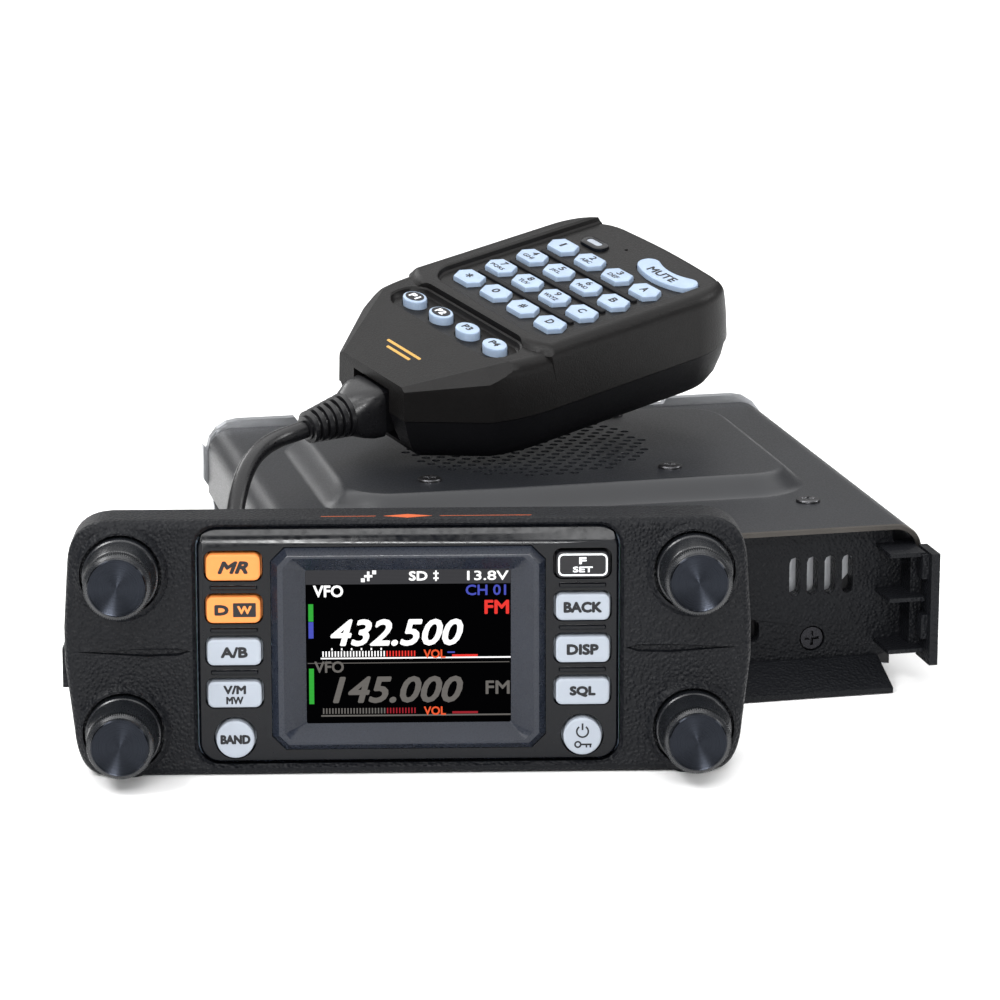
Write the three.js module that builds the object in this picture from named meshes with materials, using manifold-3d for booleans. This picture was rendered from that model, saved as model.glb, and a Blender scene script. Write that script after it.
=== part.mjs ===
// A mobile transceiver in three pieces: the radio unit, its detachable control head standing in
// front of it, and the keypad microphone lying on its top, with a curly cord plugged into the unit.
// Millimetres. X is the radio's width, -Y its front, +Z up. The origin is the centre of its underside.
import * as THREE from 'three';
import { mergeVertices } from 'three/addons/utils/BufferGeometryUtils.js';
import Module from 'manifold-3d';

const wasm = await Module();
wasm.setup();

// ---------------------------------------------------------------- driving dimensions
const GAP = 0.3; // left between two solids that would touch
const DEG = Math.PI / 180;

const RADIO = {
  width: 139,
  frontY: -57.5, // front edge of the top cover
  rearY: 64.5, // rear edge of the top cover
  topZ: 35.5, // flat margin of the top cover
  skirtZ: 20, // lower edge of the cover's side walls
  edge: 6, // radius of the cover's long top edges
  skin: 1.2,
  floor: 1.5, // thickness of the bottom cover
};
const CHASSIS = { halfWidth: 65, frontY: -50.5, rearY: 59.5, topZ: 33.6, wall: 3 };
const DOME = { halfWidth: 49.5, frontY: -22.5, rearY: 44, slope: 6.5, height: 4.2, corner: 9 };
const SPEAKER = { x: -3, y: 13, radius: 27, holePitch: 8.4, holeRadius: 2 };
const PANEL = { faceY: -54.5, thickness: 3.5, halfWidth: 64, lowZ: 5.2, highZ: 33.6 };
const EAR = { outerX: 70.3, innerX: 68.4, frontY: -67.5, rearY: -50.8, lowZ: 6, highZ: 31 };
const FAN = { x: 36, z: 19.2, size: 28, bore: 13, hub: 5.5, frontY: 49, rearY: 59, blades: 7 };
const REAR = { plateY: 64.9, backY: 67.5, topZ: 37.3, notchZ: 35.9, earX: 70.4 };
const MIC_PORT = { x: -50, z: 14, width: 15, height: 13, seatY: -46 };
const LINK_PORT = { x: 28.5, z: 12.4, width: 10.4, height: 5 };
const SLOTS = { firstX: 41.6, pitch: 4, z: 24.1, width: 2.5, height: 8.7, count: 4 };
const SCREW = { x: 45.8, z: 9.9, radius: 2.5, recess: 2.9 };

// Sockets along the rear, from the antenna to the data socket.
const ANTENNA = { x: -50, z: 19, bore: 8.5, halfWidth: 12 };
const POWER = { x: -24, z: 14, halfWidth: 8.5, halfHeight: 5.5 };
const JACKS = { x: 4, z: 26, halfWidth: 10.5, halfHeight: 4.5, spread: 5 };
const DATA = { x: 4, z: 11.5, bore: 6.3, halfWidth: 8 };

const HEAD = {
  position: [-53.1, -98.05, 0],
  yaw: -11 * DEG, // turned on its foot, seen from above
  lean: 3.5 * DEG, // the face leans back
  width: 139,
  height: 53,
  depth: 18,
  frontDepth: 12, // of the front case; the rest is the rear case
  wall: 2,
};
const KNOB = { x: 57.8, highZ: 42, lowZ: 9.4, skirt: 7.75, face: 5.9, length: 13.1 };
const WELL = { radius: 8.3, rim: 9.25, rimHeight: 0.8, depth: 2.6 };
const INSET = { width: 85.8, height: 49.2, centreZ: 27, corner: 4, frontY: 0.4, backY: 3.3 };
const FRAME = { width: 55.3, height: 41.7, centreZ: 26.35, frontY: -1.6 };
const GLASS = { width: 41.5, height: 31.8, centreZ: 26.4 };
const KEY = { x: 35.2, topZ: 43.5, pitch: 8.75, width: 10.9, height: 5.4, roundZ: 7.9, roundRadius: 3.9 };

const MIC = {
  position: [7.4, 25.6, 75.6], // centre of the number keys' tops
  heading: 22.6 * DEG, // of the keypad's length, from the cable end to the top end
  pitch: 9.1 * DEG, // top end raised
  roll: 11.1 * DEG, // one long side lower
  cableX: -53,
  topX: 35.5,
  halfWidth: 28.7,
  seamZ: -14.2,
  backZ: -26.5,
  deckZ: -0.8, // face of the keypad deck
  rowPitch: 9.15,
  columnPitch: 10.4,
};
const PROGRAM_KEYS_X = -29.4;
const MUTE = { x: 22.6, y: -11.8 };
const PTT = { x0: -13.4, x1: 25.4, z0: -10.2, z1: -4.8 };
const BOOT = { z: -15.4, tipX: -71.3 };
const CORD = { diameter: 4.1, coilDiameter: 13 };

// ---------------------------------------------------------------- solids from three.js geometry
// A closed geometry as a manifold solid, whichever way its faces were wound.
function solid(geometry) {
  const bare = new THREE.BufferGeometry();
  bare.setAttribute('position', geometry.attributes.position);
  bare.setIndex(geometry.index);
  const merged = mergeVertices(bare, 1e-4);
  const corners = merged.attributes.position;
  const index = merged.index.array;
  const triangles = [];
  const [a, b, c] = [new THREE.Vector3(), new THREE.Vector3(), new THREE.Vector3()];
  let volume = 0;
  for (let i = 0; i < index.length; i += 3) {
    const [p, q, r] = [index[i], index[i + 1], index[i + 2]];
    if (p === q || q === r || r === p) continue;
    triangles.push([p, q, r]);
    volume += a.fromBufferAttribute(corners, p).dot(
      b.fromBufferAttribute(corners, q).cross(c.fromBufferAttribute(corners, r)));
  }
  const wound = volume < 0 ? triangles.map(([p, q, r]) => [p, r, q]) : triangles;
  return new wasm.Manifold(new wasm.Mesh({
    numProp: 3,
    vertProperties: new Float32Array(corners.array),
    triVerts: Uint32Array.from(wound.flat()),
  }));
}

// A block from its lowest and highest corners.
function block(x0, y0, z0, x1, y1, z1) {
  const box = new THREE.BoxGeometry(x1 - x0, y1 - y0, z1 - z0);
  return solid(box.translate((x0 + x1) / 2, (y0 + y1) / 2, (z0 + z1) / 2));
}

// A rectangle with round corners, centred on the origin.
function roundedRectangle(width, height, radius) {
  const [x, y] = [width / 2 - radius, height / 2 - radius];
  const shape = new THREE.Shape();
  shape.absarc(x, y, radius, 0, Math.PI / 2);
  shape.absarc(-x, y, radius, Math.PI / 2, Math.PI);
  shape.absarc(-x, -y, radius, Math.PI, 1.5 * Math.PI);
  shape.absarc(x, -y, radius, 1.5 * Math.PI, 2 * Math.PI);
  shape.closePath();
  return shape;
}

// A shape in X and Y, raised from z0 to z1.
function raised(shape, z0, z1, curveSegments = 2) {
  const options = { depth: z1 - z0, bevelEnabled: false, curveSegments };
  return solid(new THREE.ExtrudeGeometry(shape, options).translate(0, 0, z0));
}

// A shape in X and Z, carried back from y0 to y1.
function facing(shape, y0, y1, curveSegments = 2) {
  const options = { depth: y1 - y0, bevelEnabled: false, curveSegments };
  const geometry = new THREE.ExtrudeGeometry(shape, options);
  return solid(geometry.rotateX(Math.PI / 2).translate(0, y1, 0));
}

// A shape in X and Y raised from z0, whose sides lean in by `inset` over the last `lean` up to z1.
function tapered(shape, z0, z1, inset, lean, steps = 1, curveSegments = 2) {
  const geometry = new THREE.ExtrudeGeometry(shape, {
    depth: 2 * lean + z1 - z0,
    bevelThickness: lean,
    bevelSize: inset,
    bevelOffset: -inset,
    bevelSegments: steps,
    curveSegments,
  });
  const far = 500;
  const body = solid(geometry.translate(0, 0, z0 - 3 * lean));
  return body.subtract(block(-far, -far, -far, far, far, z0));
}

// A profile of [radius, y] pairs turned about an axis along Y.
function turned(profile, segments = 24) {
  const points = profile.map(([radius, y]) => new THREE.Vector2(radius, y));
  points.push(points[0].clone());
  return solid(new THREE.LatheGeometry(points, segments));
}

// The same, about an upright axis: pairs are [radius, z].
function turnedUpright(profile, segments = 24) {
  return turned(profile, segments).rotate([90, 0, 0]);
}

// A round bar along Y or Z.
function barY(radius, x, z, y0, y1, segments = 16) {
  const bar = new THREE.CylinderGeometry(radius, radius, y1 - y0, segments);
  return solid(bar.translate(x, (y0 + y1) / 2, z));
}

function barZ(radius, x, y, z0, z1, segments = 16) {
  const bar = new THREE.CylinderGeometry(radius, radius, z1 - z0, segments);
  return solid(bar.rotateX(Math.PI / 2).translate(x, y, (z0 + z1) / 2));
}

// A tube of `diameter` and an even number of sides along a curve.
function along(curve, diameter, sides, steps) {
  const section = new THREE.Shape();
  section.absarc(0, 0, diameter / 2, 0, 2 * Math.PI);
  const options = { steps, extrudePath: curve, curveSegments: sides / 2 };
  return solid(new THREE.ExtrudeGeometry(section, options));
}

function joined(solids) {
  return solids.reduce((whole, next) => whole.add(next));
}

function without(body, cutters) {
  return cutters.reduce((rest, cutter) => rest.subtract(cutter), body);
}

// ---------------------------------------------------------------- materials
function finish(color, roughness, metalness = 0) {
  return new THREE.MeshStandardMaterial({ color, roughness, metalness });
}
const PAINTED_STEEL = () => finish(0x33363b, 0.55, 0.3);
const CAST_METAL = () => finish(0xa9adb2, 0.45, 0.9);
const BLACK_PLASTIC = () => finish(0x1d1f22, 0.6);
const BEZEL_PLASTIC = () => finish(0x2b3440, 0.35);
const KNOB_METAL = () => finish(0x26292d, 0.3, 0.8);
const PALE_KEY = () => finish(0xd2d8df, 0.45);
const ORANGE_KEY = () => finish(0xf09a4a, 0.45);
const DARK_KEY = () => finish(0x22262c, 0.4);
const SILICONE = () => finish(0xc3d2e6, 0.5);
const CIRCUIT_BOARD = () => finish(0x1f5a3a, 0.6);
const RUBBER = () => finish(0x161719, 0.75);
const BRIGHT_METAL = () => finish(0xc9ccd0, 0.3, 1);
const CLEAR_GLASS = () => finish(0x0b0d11, 0.08);

// Adds one named solid to a group.
function add(group, name, body, material) {
  const mesh = body.getMesh();
  const geometry = new THREE.BufferGeometry();
  geometry.setAttribute('position', new THREE.BufferAttribute(mesh.vertProperties, 3));
  geometry.setIndex(new THREE.BufferAttribute(mesh.triVerts, 1));
  geometry.computeVertexNormals();
  const node = new THREE.Mesh(geometry, material);
  node.name = name;
  group.add(node);
  return node;
}

// ================================================================ radio unit
const radio = new THREE.Group();

// ---------------------------------------------------------------- top cover
// An arch of sheet steel: flat top, round long edges, short side walls.
function coverArch() {
  const { width, topZ, skirtZ, edge, skin } = RADIO;
  const half = width / 2;
  const shape = new THREE.Shape();
  shape.moveTo(half, skirtZ);
  shape.absarc(half - edge, topZ - edge, edge, 0, Math.PI / 2);
  shape.absarc(edge - half, topZ - edge, edge, Math.PI / 2, Math.PI);
  shape.lineTo(-half, skirtZ);
  shape.lineTo(skin - half, skirtZ);
  shape.absarc(edge - half, topZ - edge, edge - skin, Math.PI, Math.PI / 2, true);
  shape.absarc(half - edge, topZ - edge, edge - skin, Math.PI / 2, 0, true);
  shape.lineTo(half - skin, skirtZ);
  shape.closePath();
  return facing(shape, RADIO.frontY, RADIO.rearY, 2);
}

// The pressed dome over the loudspeaker, `drop` lower than its outer face.
function domeBody(drop) {
  const { halfWidth, frontY, rearY, slope, height, corner } = DOME;
  const length = rearY - frontY + 2 * slope;
  const foot = roundedRectangle(2 * (halfWidth + slope), length, corner + slope);
  const body = tapered(foot, RADIO.topZ - 1, RADIO.topZ + height, slope, height, 2, 2);
  return body.translate([0, (frontY + rearY) / 2, -drop]);
}

// Speaker holes on a triangular grid, in a round field.
function grilleHoles() {
  const { x, y, radius, holePitch, holeRadius } = SPEAKER;
  const rowStep = holePitch * Math.sin(Math.PI / 3);
  const rows = Math.floor(radius / rowStep);
  const holes = [];
  for (let row = -rows; row <= rows; row += 1) {
    const shift = row % 2 === 0 ? 0 : holePitch / 2;
    for (let column = -rows - 1; column <= rows + 1; column += 1) {
      const [dx, dy] = [column * holePitch + shift, row * rowStep];
      if (Math.hypot(dx, dy) > radius - holeRadius - 2) continue;
      holes.push(barZ(holeRadius, x + dx, y + dy, RADIO.topZ, RADIO.topZ + 6, 6));
    }
  }
  return holes;
}

function topCover() {
  const shell = coverArch().add(domeBody(0)).subtract(domeBody(RADIO.skin));
  return without(shell, grilleHoles());
}
add(radio, 'top_cover', topCover(), PAINTED_STEEL());

// ---------------------------------------------------------------- chassis, bottom, rear heatsink
// A die-cast tray, open to the top and rear, with cooling fins along both sides and a flat
// pad on each side where a mounting bracket is screwed on.
function chassis() {
  const { halfWidth, frontY, rearY, topZ, wall } = CHASSIS;
  const low = RADIO.floor + GAP;
  const tray = block(-halfWidth, frontY, low, halfWidth, rearY, topZ);
  const inside = block(wall - halfWidth, frontY + wall, low + wall, halfWidth - wall, rearY + 1, topZ + 1);
  const pieces = [tray.subtract(inside)];
  const finTop = RADIO.skirtZ - 1.5;
  for (const side of [-1, 1]) {
    for (let y = frontY + 6; y < rearY - 3; y += 10) {
      if (Math.abs(y) < 14) continue;
      const [x0, x1] = [side * (halfWidth - 0.5), side * (halfWidth + 3)].sort((a, b) => a - b);
      pieces.push(block(x0, y, 4, x1, y + 1.6, finTop));
    }
    const [p0, p1] = [side * (halfWidth - 0.5), side * (halfWidth + 3.5)].sort((a, b) => a - b);
    pieces.push(block(p0, -12, 4.5, p1, 12, finTop));
    for (const y of [-44, 40]) pieces.push(barZ(3, side * 56, y, low + 1, 7.7, 16));
  }
  const socketHole = ({ x, z }, halfWidth, halfHeight) => block(x - halfWidth, frontY - 1, z - halfHeight,
    x + halfWidth, frontY + wall + 1, z + halfHeight);
  return without(joined(pieces), [socketHole(MIC_PORT, 7, 6.5), socketHole(LINK_PORT, 10, 6.5)]);
}
add(radio, 'chassis', chassis(), CAST_METAL());

function bottomCover() {
  const plate = roundedRectangle(121, 112, 4);
  return raised(plate, 0, RADIO.floor).translate([0, 4, 0]);
}
add(radio, 'bottom_cover', bottomCover(), PAINTED_STEEL());

// The rear casting: a plate that stands a little above the cover at both corners.
function rearHeatsink() {
  const { plateY, backY, topZ, notchZ, earX } = REAR;
  const outline = new THREE.Shape();
  const half = RADIO.width / 2;
  outline.moveTo(-61, RADIO.floor);
  outline.lineTo(61, RADIO.floor);
  outline.lineTo(half - 2.5, 8);
  outline.lineTo(half - 1, RADIO.skirtZ);
  outline.lineTo(earX, RADIO.skirtZ + 3);
  outline.lineTo(earX, 31.5);
  outline.absarc(half - 7.5, topZ - 7.5, 7.5, 0.1, Math.PI / 2);
  outline.lineTo(45, topZ);
  outline.lineTo(44, notchZ);
  outline.lineTo(-47, notchZ);
  outline.lineTo(-48, topZ);
  outline.absarc(7.5 - half, topZ - 7.5, 7.5, Math.PI / 2, Math.PI - 0.1);
  outline.lineTo(-earX, 31.5);
  outline.lineTo(-earX, RADIO.skirtZ + 3);
  outline.lineTo(1 - half, RADIO.skirtZ);
  outline.lineTo(2.5 - half, 8);
  outline.closePath();
  const plate = facing(outline, plateY, backY);
  const back = block(-64, CHASSIS.rearY + GAP, RADIO.floor + 0.6, 64, plateY + 0.5, 33.4);
  const taken = [ANTENNA, POWER, JACKS, DATA, { x: FAN.x, halfWidth: FAN.bore }];
  const louvres = [];
  for (let x = -63; x <= 63; x += 9) {
    const clear = taken.every((item) => Math.abs(x - item.x) > item.halfWidth + 1.5);
    if (clear) louvres.push(block(x - 1, backY - 1.6, 9, x + 1, backY + 1, 31));
  }
  const body = without(plate.add(back), louvres);
  const socketHole = ({ x, z, halfWidth, halfHeight }) => block(x - halfWidth, 50, z - halfHeight,
    x + halfWidth, 70, z + halfHeight);
  const holes = [
    barY(FAN.bore, FAN.x, FAN.z, 50, 70, 24),
    barY(ANTENNA.bore, ANTENNA.x, ANTENNA.z, 50, 70),
    barY(DATA.bore, DATA.x, DATA.z, 50, 70),
    socketHole(POWER),
    socketHole(JACKS),
  ];
  return joined([without(body, holes), ...fingerGuard()]);
}

// Two rings and a cross of bars over the fan.
function fingerGuard() {
  const [y0, y1] = [65.2, 67];
  const rings = [4.5, 9.2].map((radius) => turned(
    [[radius, y0], [radius + 1.4, y0], [radius + 1.4, y1], [radius, y1]], 16));
  const bars = [45, 135].map((angle) => block(-FAN.bore - 0.5, y0, -0.8, FAN.bore + 0.5, y1, 0.8)
    .rotate([0, angle, 0]));
  return [...rings, ...bars].map((piece) => piece.translate([FAN.x, 0, FAN.z]));
}
add(radio, 'rear_heatsink', rearHeatsink(), CAST_METAL());

// ---------------------------------------------------------------- rear sockets
// A threaded coaxial receptacle with a square flange and a hollow barrel.
function antennaSocket() {
  const [front, flangeY, tip] = [58, REAR.backY + GAP, 80];
  const flange = block(-11, flangeY, -11, 11, flangeY + 1.8, 11);
  const rings = [[0, front], [ANTENNA.bore - GAP, front]];
  rings.push([ANTENNA.bore - GAP, flangeY + 1]);
  for (let y = flangeY + 1.8; y < tip - 3; y += 4) rings.push([7.9, y], [7.4, y + 2]);
  rings.push([7.4, tip], [5.6, tip], [5.6, flangeY + 2], [2, flangeY + 2], [2, tip - 2], [0, tip - 2]);
  const barrel = turned(rings, 16);
  return flange.add(barrel).translate([ANTENNA.x, 0, ANTENNA.z]);
}
add(radio, 'antenna_socket', antennaSocket(), BRIGHT_METAL());

// The two-pole power inlet, with a divided mouth.
function powerInlet() {
  const half = POWER.halfWidth - GAP;
  const body = block(-half, 57, -5.2, half, 70.5, 5.2);
  const mouths = [-4, 4].map((x) => block(x - 3.1, 62, -3.4, x + 3.1, 72, 3.4));
  return without(body, mouths).translate([POWER.x, 0, POWER.z]);
}
add(radio, 'power_inlet', powerInlet(), BLACK_PLASTIC());

// Two loudspeaker jacks in one moulding, each with a round nut.
function speakerJacks() {
  const half = JACKS.halfWidth - GAP;
  const body = block(-half, 56, -4.2, half, REAR.backY, 4.2);
  const centres = [-JACKS.spread, JACKS.spread];
  const nuts = centres.map((x) => barY(3.6, x, 0, REAR.backY - 1, 69.3, 12));
  const bores = centres.map((x) => barY(1.8, x, 0, 58, 72, 8));
  return without(joined([body, ...nuts]), bores).translate([JACKS.x, 0, JACKS.z]);
}
add(radio, 'speaker_jacks', speakerJacks(), BLACK_PLASTIC());

// A round ten-pole data socket.
function dataJack() {
  const radius = DATA.bore - GAP;
  const cup = [[0, 56], [radius, 56], [radius, 68.4], [4.6, 68.4], [4.6, 61], [0, 61]];
  return turned(cup, 20).translate([DATA.x, 0, DATA.z]);
}
add(radio, 'data_jack', dataJack(), BRIGHT_METAL());

// ---------------------------------------------------------------- cooling fan
function fanFrame() {
  const { x, z, size, bore, hub, frontY, rearY } = FAN;
  const half = size / 2;
  const ring = block(-half, frontY, -half, half, rearY, half).subtract(barY(bore, 0, 0, 0, 99, 24));
  const arms = [0, 120, 240].map((angle) => block(0, frontY, -1, bore + 0.6, frontY + 1.2, 1)
    .rotate([0, angle, 0]));
  const seat = barY(hub, 0, 0, frontY, frontY + 2.2);
  return joined([ring, seat, ...arms]).translate([x, 0, z]);
}
add(radio, 'fan_frame', fanFrame(), BLACK_PLASTIC());

function fanRotor() {
  const { x, z, bore, hub, frontY, rearY, blades } = FAN;
  const [y0, y1] = [frontY + 2.8, rearY - 0.6];
  const middle = (y0 + y1) / 2;
  const pieces = [barY(hub, 0, 0, y0, y1)];
  for (let i = 0; i < blades; i += 1) {
    const blade = block(hub - 1, -2.6, -0.5, bore - 0.9, 2.6, 0.5).rotate([35, 0, 0]);
    pieces.push(blade.translate([0, middle, 0]).rotate([0, (360 / blades) * i, 0]));
  }
  return joined(pieces).translate([x, 0, z]);
}
add(radio, 'fan_rotor', fanRotor(), BLACK_PLASTIC());

// ---------------------------------------------------------------- front panel and dock ears
// Hook shelves and stop pads on the inside of each ear, where the control head clips on.
function ear() {
  const { outerX, innerX, frontY, rearY, lowZ, highZ } = EAR;
  const cheek = block(innerX, frontY, lowZ, outerX, RADIO.frontY - 1, highZ);
  const skinX = RADIO.width / 2 - RADIO.skin - GAP;
  const root = block(PANEL.halfWidth - 3, -54, lowZ + 1, skinX, rearY, highZ - 1);
  const neck = block(skinX - 2, RADIO.frontY - 3, lowZ + 1, skinX, rearY - 0.5, highZ - 1);
  const bridge = block(skinX - 2, RADIO.frontY - 3, lowZ + 1, innerX + 0.5, RADIO.frontY - GAP,
    highZ - 1);
  const shelves = [8.2, 19.8, highZ - 1.2].map((z) => block(60, -64.5, z, skinX, -53, z + 0.9));
  const pads = [11.5, 25].map((z) => block(67, -65.5, z, innerX + 0.3, -62, z + 5.4));
  return joined([cheek, root, neck, bridge, ...shelves, ...pads]);
}

// The raised lip along the bottom, a wedge that the head's lower edge sits on.
function lowerLip() {
  const wedge = new THREE.Shape();
  wedge.moveTo(-67, 0.2);
  wedge.lineTo(-56.8, 0.2);
  wedge.lineTo(-54, 5.5);
  wedge.lineTo(-55.8, 5.5);
  wedge.lineTo(-67, 1.4);
  wedge.closePath();
  const bar = new THREE.ExtrudeGeometry(wedge, { depth: 121, bevelEnabled: false });
  bar.rotateX(Math.PI / 2).rotateZ(Math.PI / 2);
  return solid(bar.translate(-60.5, 0, 0));
}

function frontPanel() {
  const { faceY, thickness, halfWidth, lowZ, highZ } = PANEL;
  const face = roundedRectangle(2 * halfWidth, highZ - lowZ, 3);
  const plate = facing(face, faceY, faceY + thickness).translate([0, 0, (highZ + lowZ) / 2]);
  const cuts = [];
  for (let i = 0; i < SLOTS.count; i += 1) {
    const outline = roundedRectangle(SLOTS.width, SLOTS.height, SLOTS.width / 2 - 0.05);
    const slot = facing(outline, faceY - 1, faceY + thickness + 1, 1);
    cuts.push(slot.translate([SLOTS.firstX + SLOTS.pitch * i, 0, SLOTS.z]));
  }
  cuts.push(barY(SCREW.recess, SCREW.x, SCREW.z, faceY - 1, faceY + 2.2));
  const { x, z, width, height } = MIC_PORT;
  cuts.push(block(x - width / 2, faceY - 1, z - height / 2, x + width / 2, faceY + 9, z + height / 2));
  const port = facing(roundedRectangle(LINK_PORT.width, LINK_PORT.height, 1.6), faceY - 1, faceY + 9);
  cuts.push(port.translate([LINK_PORT.x, 0, LINK_PORT.z]));
  const right = ear();
  const left = right.mirror([1, 0, 0]);
  return without(joined([plate, lowerLip(), right, left]), cuts);
}
add(radio, 'front_panel', frontPanel(), BLACK_PLASTIC());

// A cross-recessed screw in the front panel.
function frontScrew() {
  const cap = barY(SCREW.radius, 0, 0, -54.2, -52.8);
  const cross = [block(-1.6, -55, -0.35, 1.6, -53.4, 0.35), block(-0.35, -55, -1.6, 0.35, -53.4, 1.6)];
  return without(cap, cross).translate([SCREW.x, 0, SCREW.z]);
}
add(radio, 'front_screw', frontScrew(), BRIGHT_METAL());

// A modular socket: a block with an open mouth towards the front.
function modularSocket(width, height, length, mouthWidth, mouthHeight) {
  const body = block(-width / 2, 0, -height / 2, width / 2, length, height / 2);
  const mouth = block(-mouthWidth / 2, -1, -mouthHeight / 2, mouthWidth / 2, length - 2, mouthHeight / 2);
  return body.subtract(mouth);
}
const micSocket = modularSocket(13.4, 12.4, 13, 10.2, 7.2);
add(radio, 'mic_jack', micSocket.translate([MIC_PORT.x, MIC_PORT.seatY, MIC_PORT.z]), BLACK_PLASTIC());
const linkSocket = modularSocket(13, 8.4, 12, 9.2, 4.6);
add(radio, 'link_jack', linkSocket.translate([LINK_PORT.x, -50.5, LINK_PORT.z]), BLACK_PLASTIC());

// ---------------------------------------------------------------- electronics
const boardTop = 9.6;
const boardShape = roundedRectangle(117, 76, 2);
add(radio, 'main_board', raised(boardShape, 8, boardTop).translate([0, 7, 0]), CIRCUIT_BOARD());

function powerModule() {
  const body = block(-54, 22, boardTop + GAP, 2, 38, 17);
  const flanges = block(-58, 25, boardTop + GAP, 6, 35, 12);
  return body.add(flanges);
}
add(radio, 'power_module', powerModule(), BLACK_PLASTIC());

// The loudspeaker: an open basket on a magnet, with a paper cone in it.
function speakerFrame() {
  const profile = [[0, 20], [14, 20], [14, 26], [16, 27], [26, 36.2], [27.5, 36.2], [27.5, 37.6],
    [24.6, 37.6], [14, 27.8], [0, 27.8]];
  return turnedUpright(profile, 18).translate([SPEAKER.x, SPEAKER.y, 0]);
}
add(radio, 'speaker_frame', speakerFrame(), BRIGHT_METAL());

function speakerCone() {
  const profile = [[0, 32], [6, 31], [23.4, 37.2], [23.4, 37.8], [6, 32], [0, 33.6]];
  return turnedUpright(profile, 18).translate([SPEAKER.x, SPEAKER.y, 0]);
}
add(radio, 'speaker_cone', speakerCone(), RUBBER());

// ================================================================ control head
// Its own frame: origin at the bottom middle of the face, X to the right, +Y to the back.
const head = new THREE.Group();
head.position.set(...HEAD.position);
head.rotation.set(-HEAD.lean, 0, HEAD.yaw, 'ZYX');

// The head's outline from the front, `inset` inside the outer one: widest at half height,
// with round upper corners and sides that draw in towards the bottom.
function headOutline(inset) {
  const half = HEAD.width / 2 - inset;
  const top = HEAD.height - inset;
  const low = inset;
  const shape = new THREE.Shape();
  shape.moveTo(half, 31);
  shape.lineTo(half - 0.9, 45.5);
  shape.quadraticCurveTo(half - 1.3, top - 0.6, half - 8.5, top);
  shape.lineTo(8.5 - half, top);
  shape.quadraticCurveTo(1.3 - half, top - 0.6, 0.9 - half, 45.5);
  shape.lineTo(-half, 31);
  shape.lineTo(-half, 24);
  shape.lineTo(1.8 - half, 8.5);
  shape.quadraticCurveTo(2.6 - half, low + 0.4, 8 - half, low);
  shape.lineTo(half - 8, low);
  shape.quadraticCurveTo(half - 2.6, low + 0.4, half - 1.8, 8.5);
  shape.lineTo(half, 24);
  shape.closePath();
  return shape;
}

// Everything below the surface that the head stands on.
function underHead() {
  return block(-90, -30, -20, 90, 60, 0).rotate([HEAD.lean / DEG, 0, 0]);
}

// A shape in X and Z with its front edge (at y0) drawn in by `inset` over `lean`.
function facingTapered(shape, y0, y1, inset, lean, steps = 1) {
  const body = tapered(shape, -y1, -y0, inset, lean, steps);
  return body.rotate([90, 0, 0]);
}

function knobPlaces() {
  const places = [];
  for (const [row, z] of [['upper', KNOB.highZ], ['lower', KNOB.lowZ]]) {
    places.push({ name: `${row}_left`, x: -KNOB.x, z, push: row === 'upper' });
    places.push({ name: `${row}_right`, x: KNOB.x, z, push: row === 'upper' });
  }
  return places;
}

function headFrontCase() {
  const { frontDepth, wall } = HEAD;
  const outer = facingTapered(headOutline(0), 0, frontDepth, 1.1, 1.1);
  const inner = facing(headOutline(wall), wall, frontDepth + 1);
  const pieces = [outer.subtract(inner)];
  const cuts = [underHead()];
  const insetShape = roundedRectangle(INSET.width, INSET.height, INSET.corner);
  cuts.push(facing(insetShape, -2, INSET.backY + GAP).translate([0, 0, INSET.centreZ]));
  for (const { x, z } of knobPlaces()) {
    const rim = [[0, 4.4], [WELL.rim, 4.4], [WELL.rim, 0.2], [WELL.rim - 0.5, -WELL.rimHeight],
      [0, -WELL.rimHeight]];
    pieces.push(turned(rim, 20).translate([x, 0, z]));
    cuts.push(barY(WELL.radius, x, z, -2, WELL.depth, 20));
    cuts.push(barY(3.6, x, z, 0, 6, 10));
  }
  cuts.push(block(-72, 2.6, 17.9, -66.6, 10.6, 26.6));
  return without(joined(pieces), cuts);
}
add(head, 'head_front_case', headFrontCase(), BLACK_PLASTIC());

function headRearCase() {
  const { frontDepth, depth, wall } = HEAD;
  const y0 = frontDepth + GAP;
  const outer = facingTapered(headOutline(0.8), -depth, -y0, 1.6, 2).rotate([0, 0, 180]);
  const inner = facing(headOutline(0.8 + wall), y0 - 1, depth - wall);
  const jack = block(-7.2, 0, 20.6, 7.2, 30, 30.4);
  const recess = block(-22, depth - 0.9, 34, 22, depth + 1, 42);
  return without(outer, [inner, jack, recess, underHead()]);
}
add(head, 'head_rear_case', headRearCase(), BLACK_PLASTIC());

// ---------------------------------------------------------------- display and keys
function keyPlaces() {
  const columns = [
    { x: -KEY.x, names: ['memory', 'watch', 'swap', 'mode'], roundName: 'band' },
    { x: KEY.x, names: ['setup', 'back', 'display', 'squelch'], roundName: 'power' },
  ];
  return columns.flatMap(({ x, names, roundName }) => [
    ...names.map((name, i) => ({ name: `key_${name}`, x, z: KEY.topZ - i * KEY.pitch, round: false })),
    { name: `key_${roundName}`, x, z: KEY.roundZ, round: true },
  ]);
}

// A key's outline, grown by `extra` all round.
function keyShape(place, extra) {
  if (!place.round) return roundedRectangle(KEY.width + 2 * extra, KEY.height + 2 * extra, 1.3);
  const circle = new THREE.Shape();
  circle.absarc(0, 0, KEY.roundRadius + extra, 0, 2 * Math.PI);
  return circle;
}

function keySegments(place) {
  return place.round ? 6 : 1;
}

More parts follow.
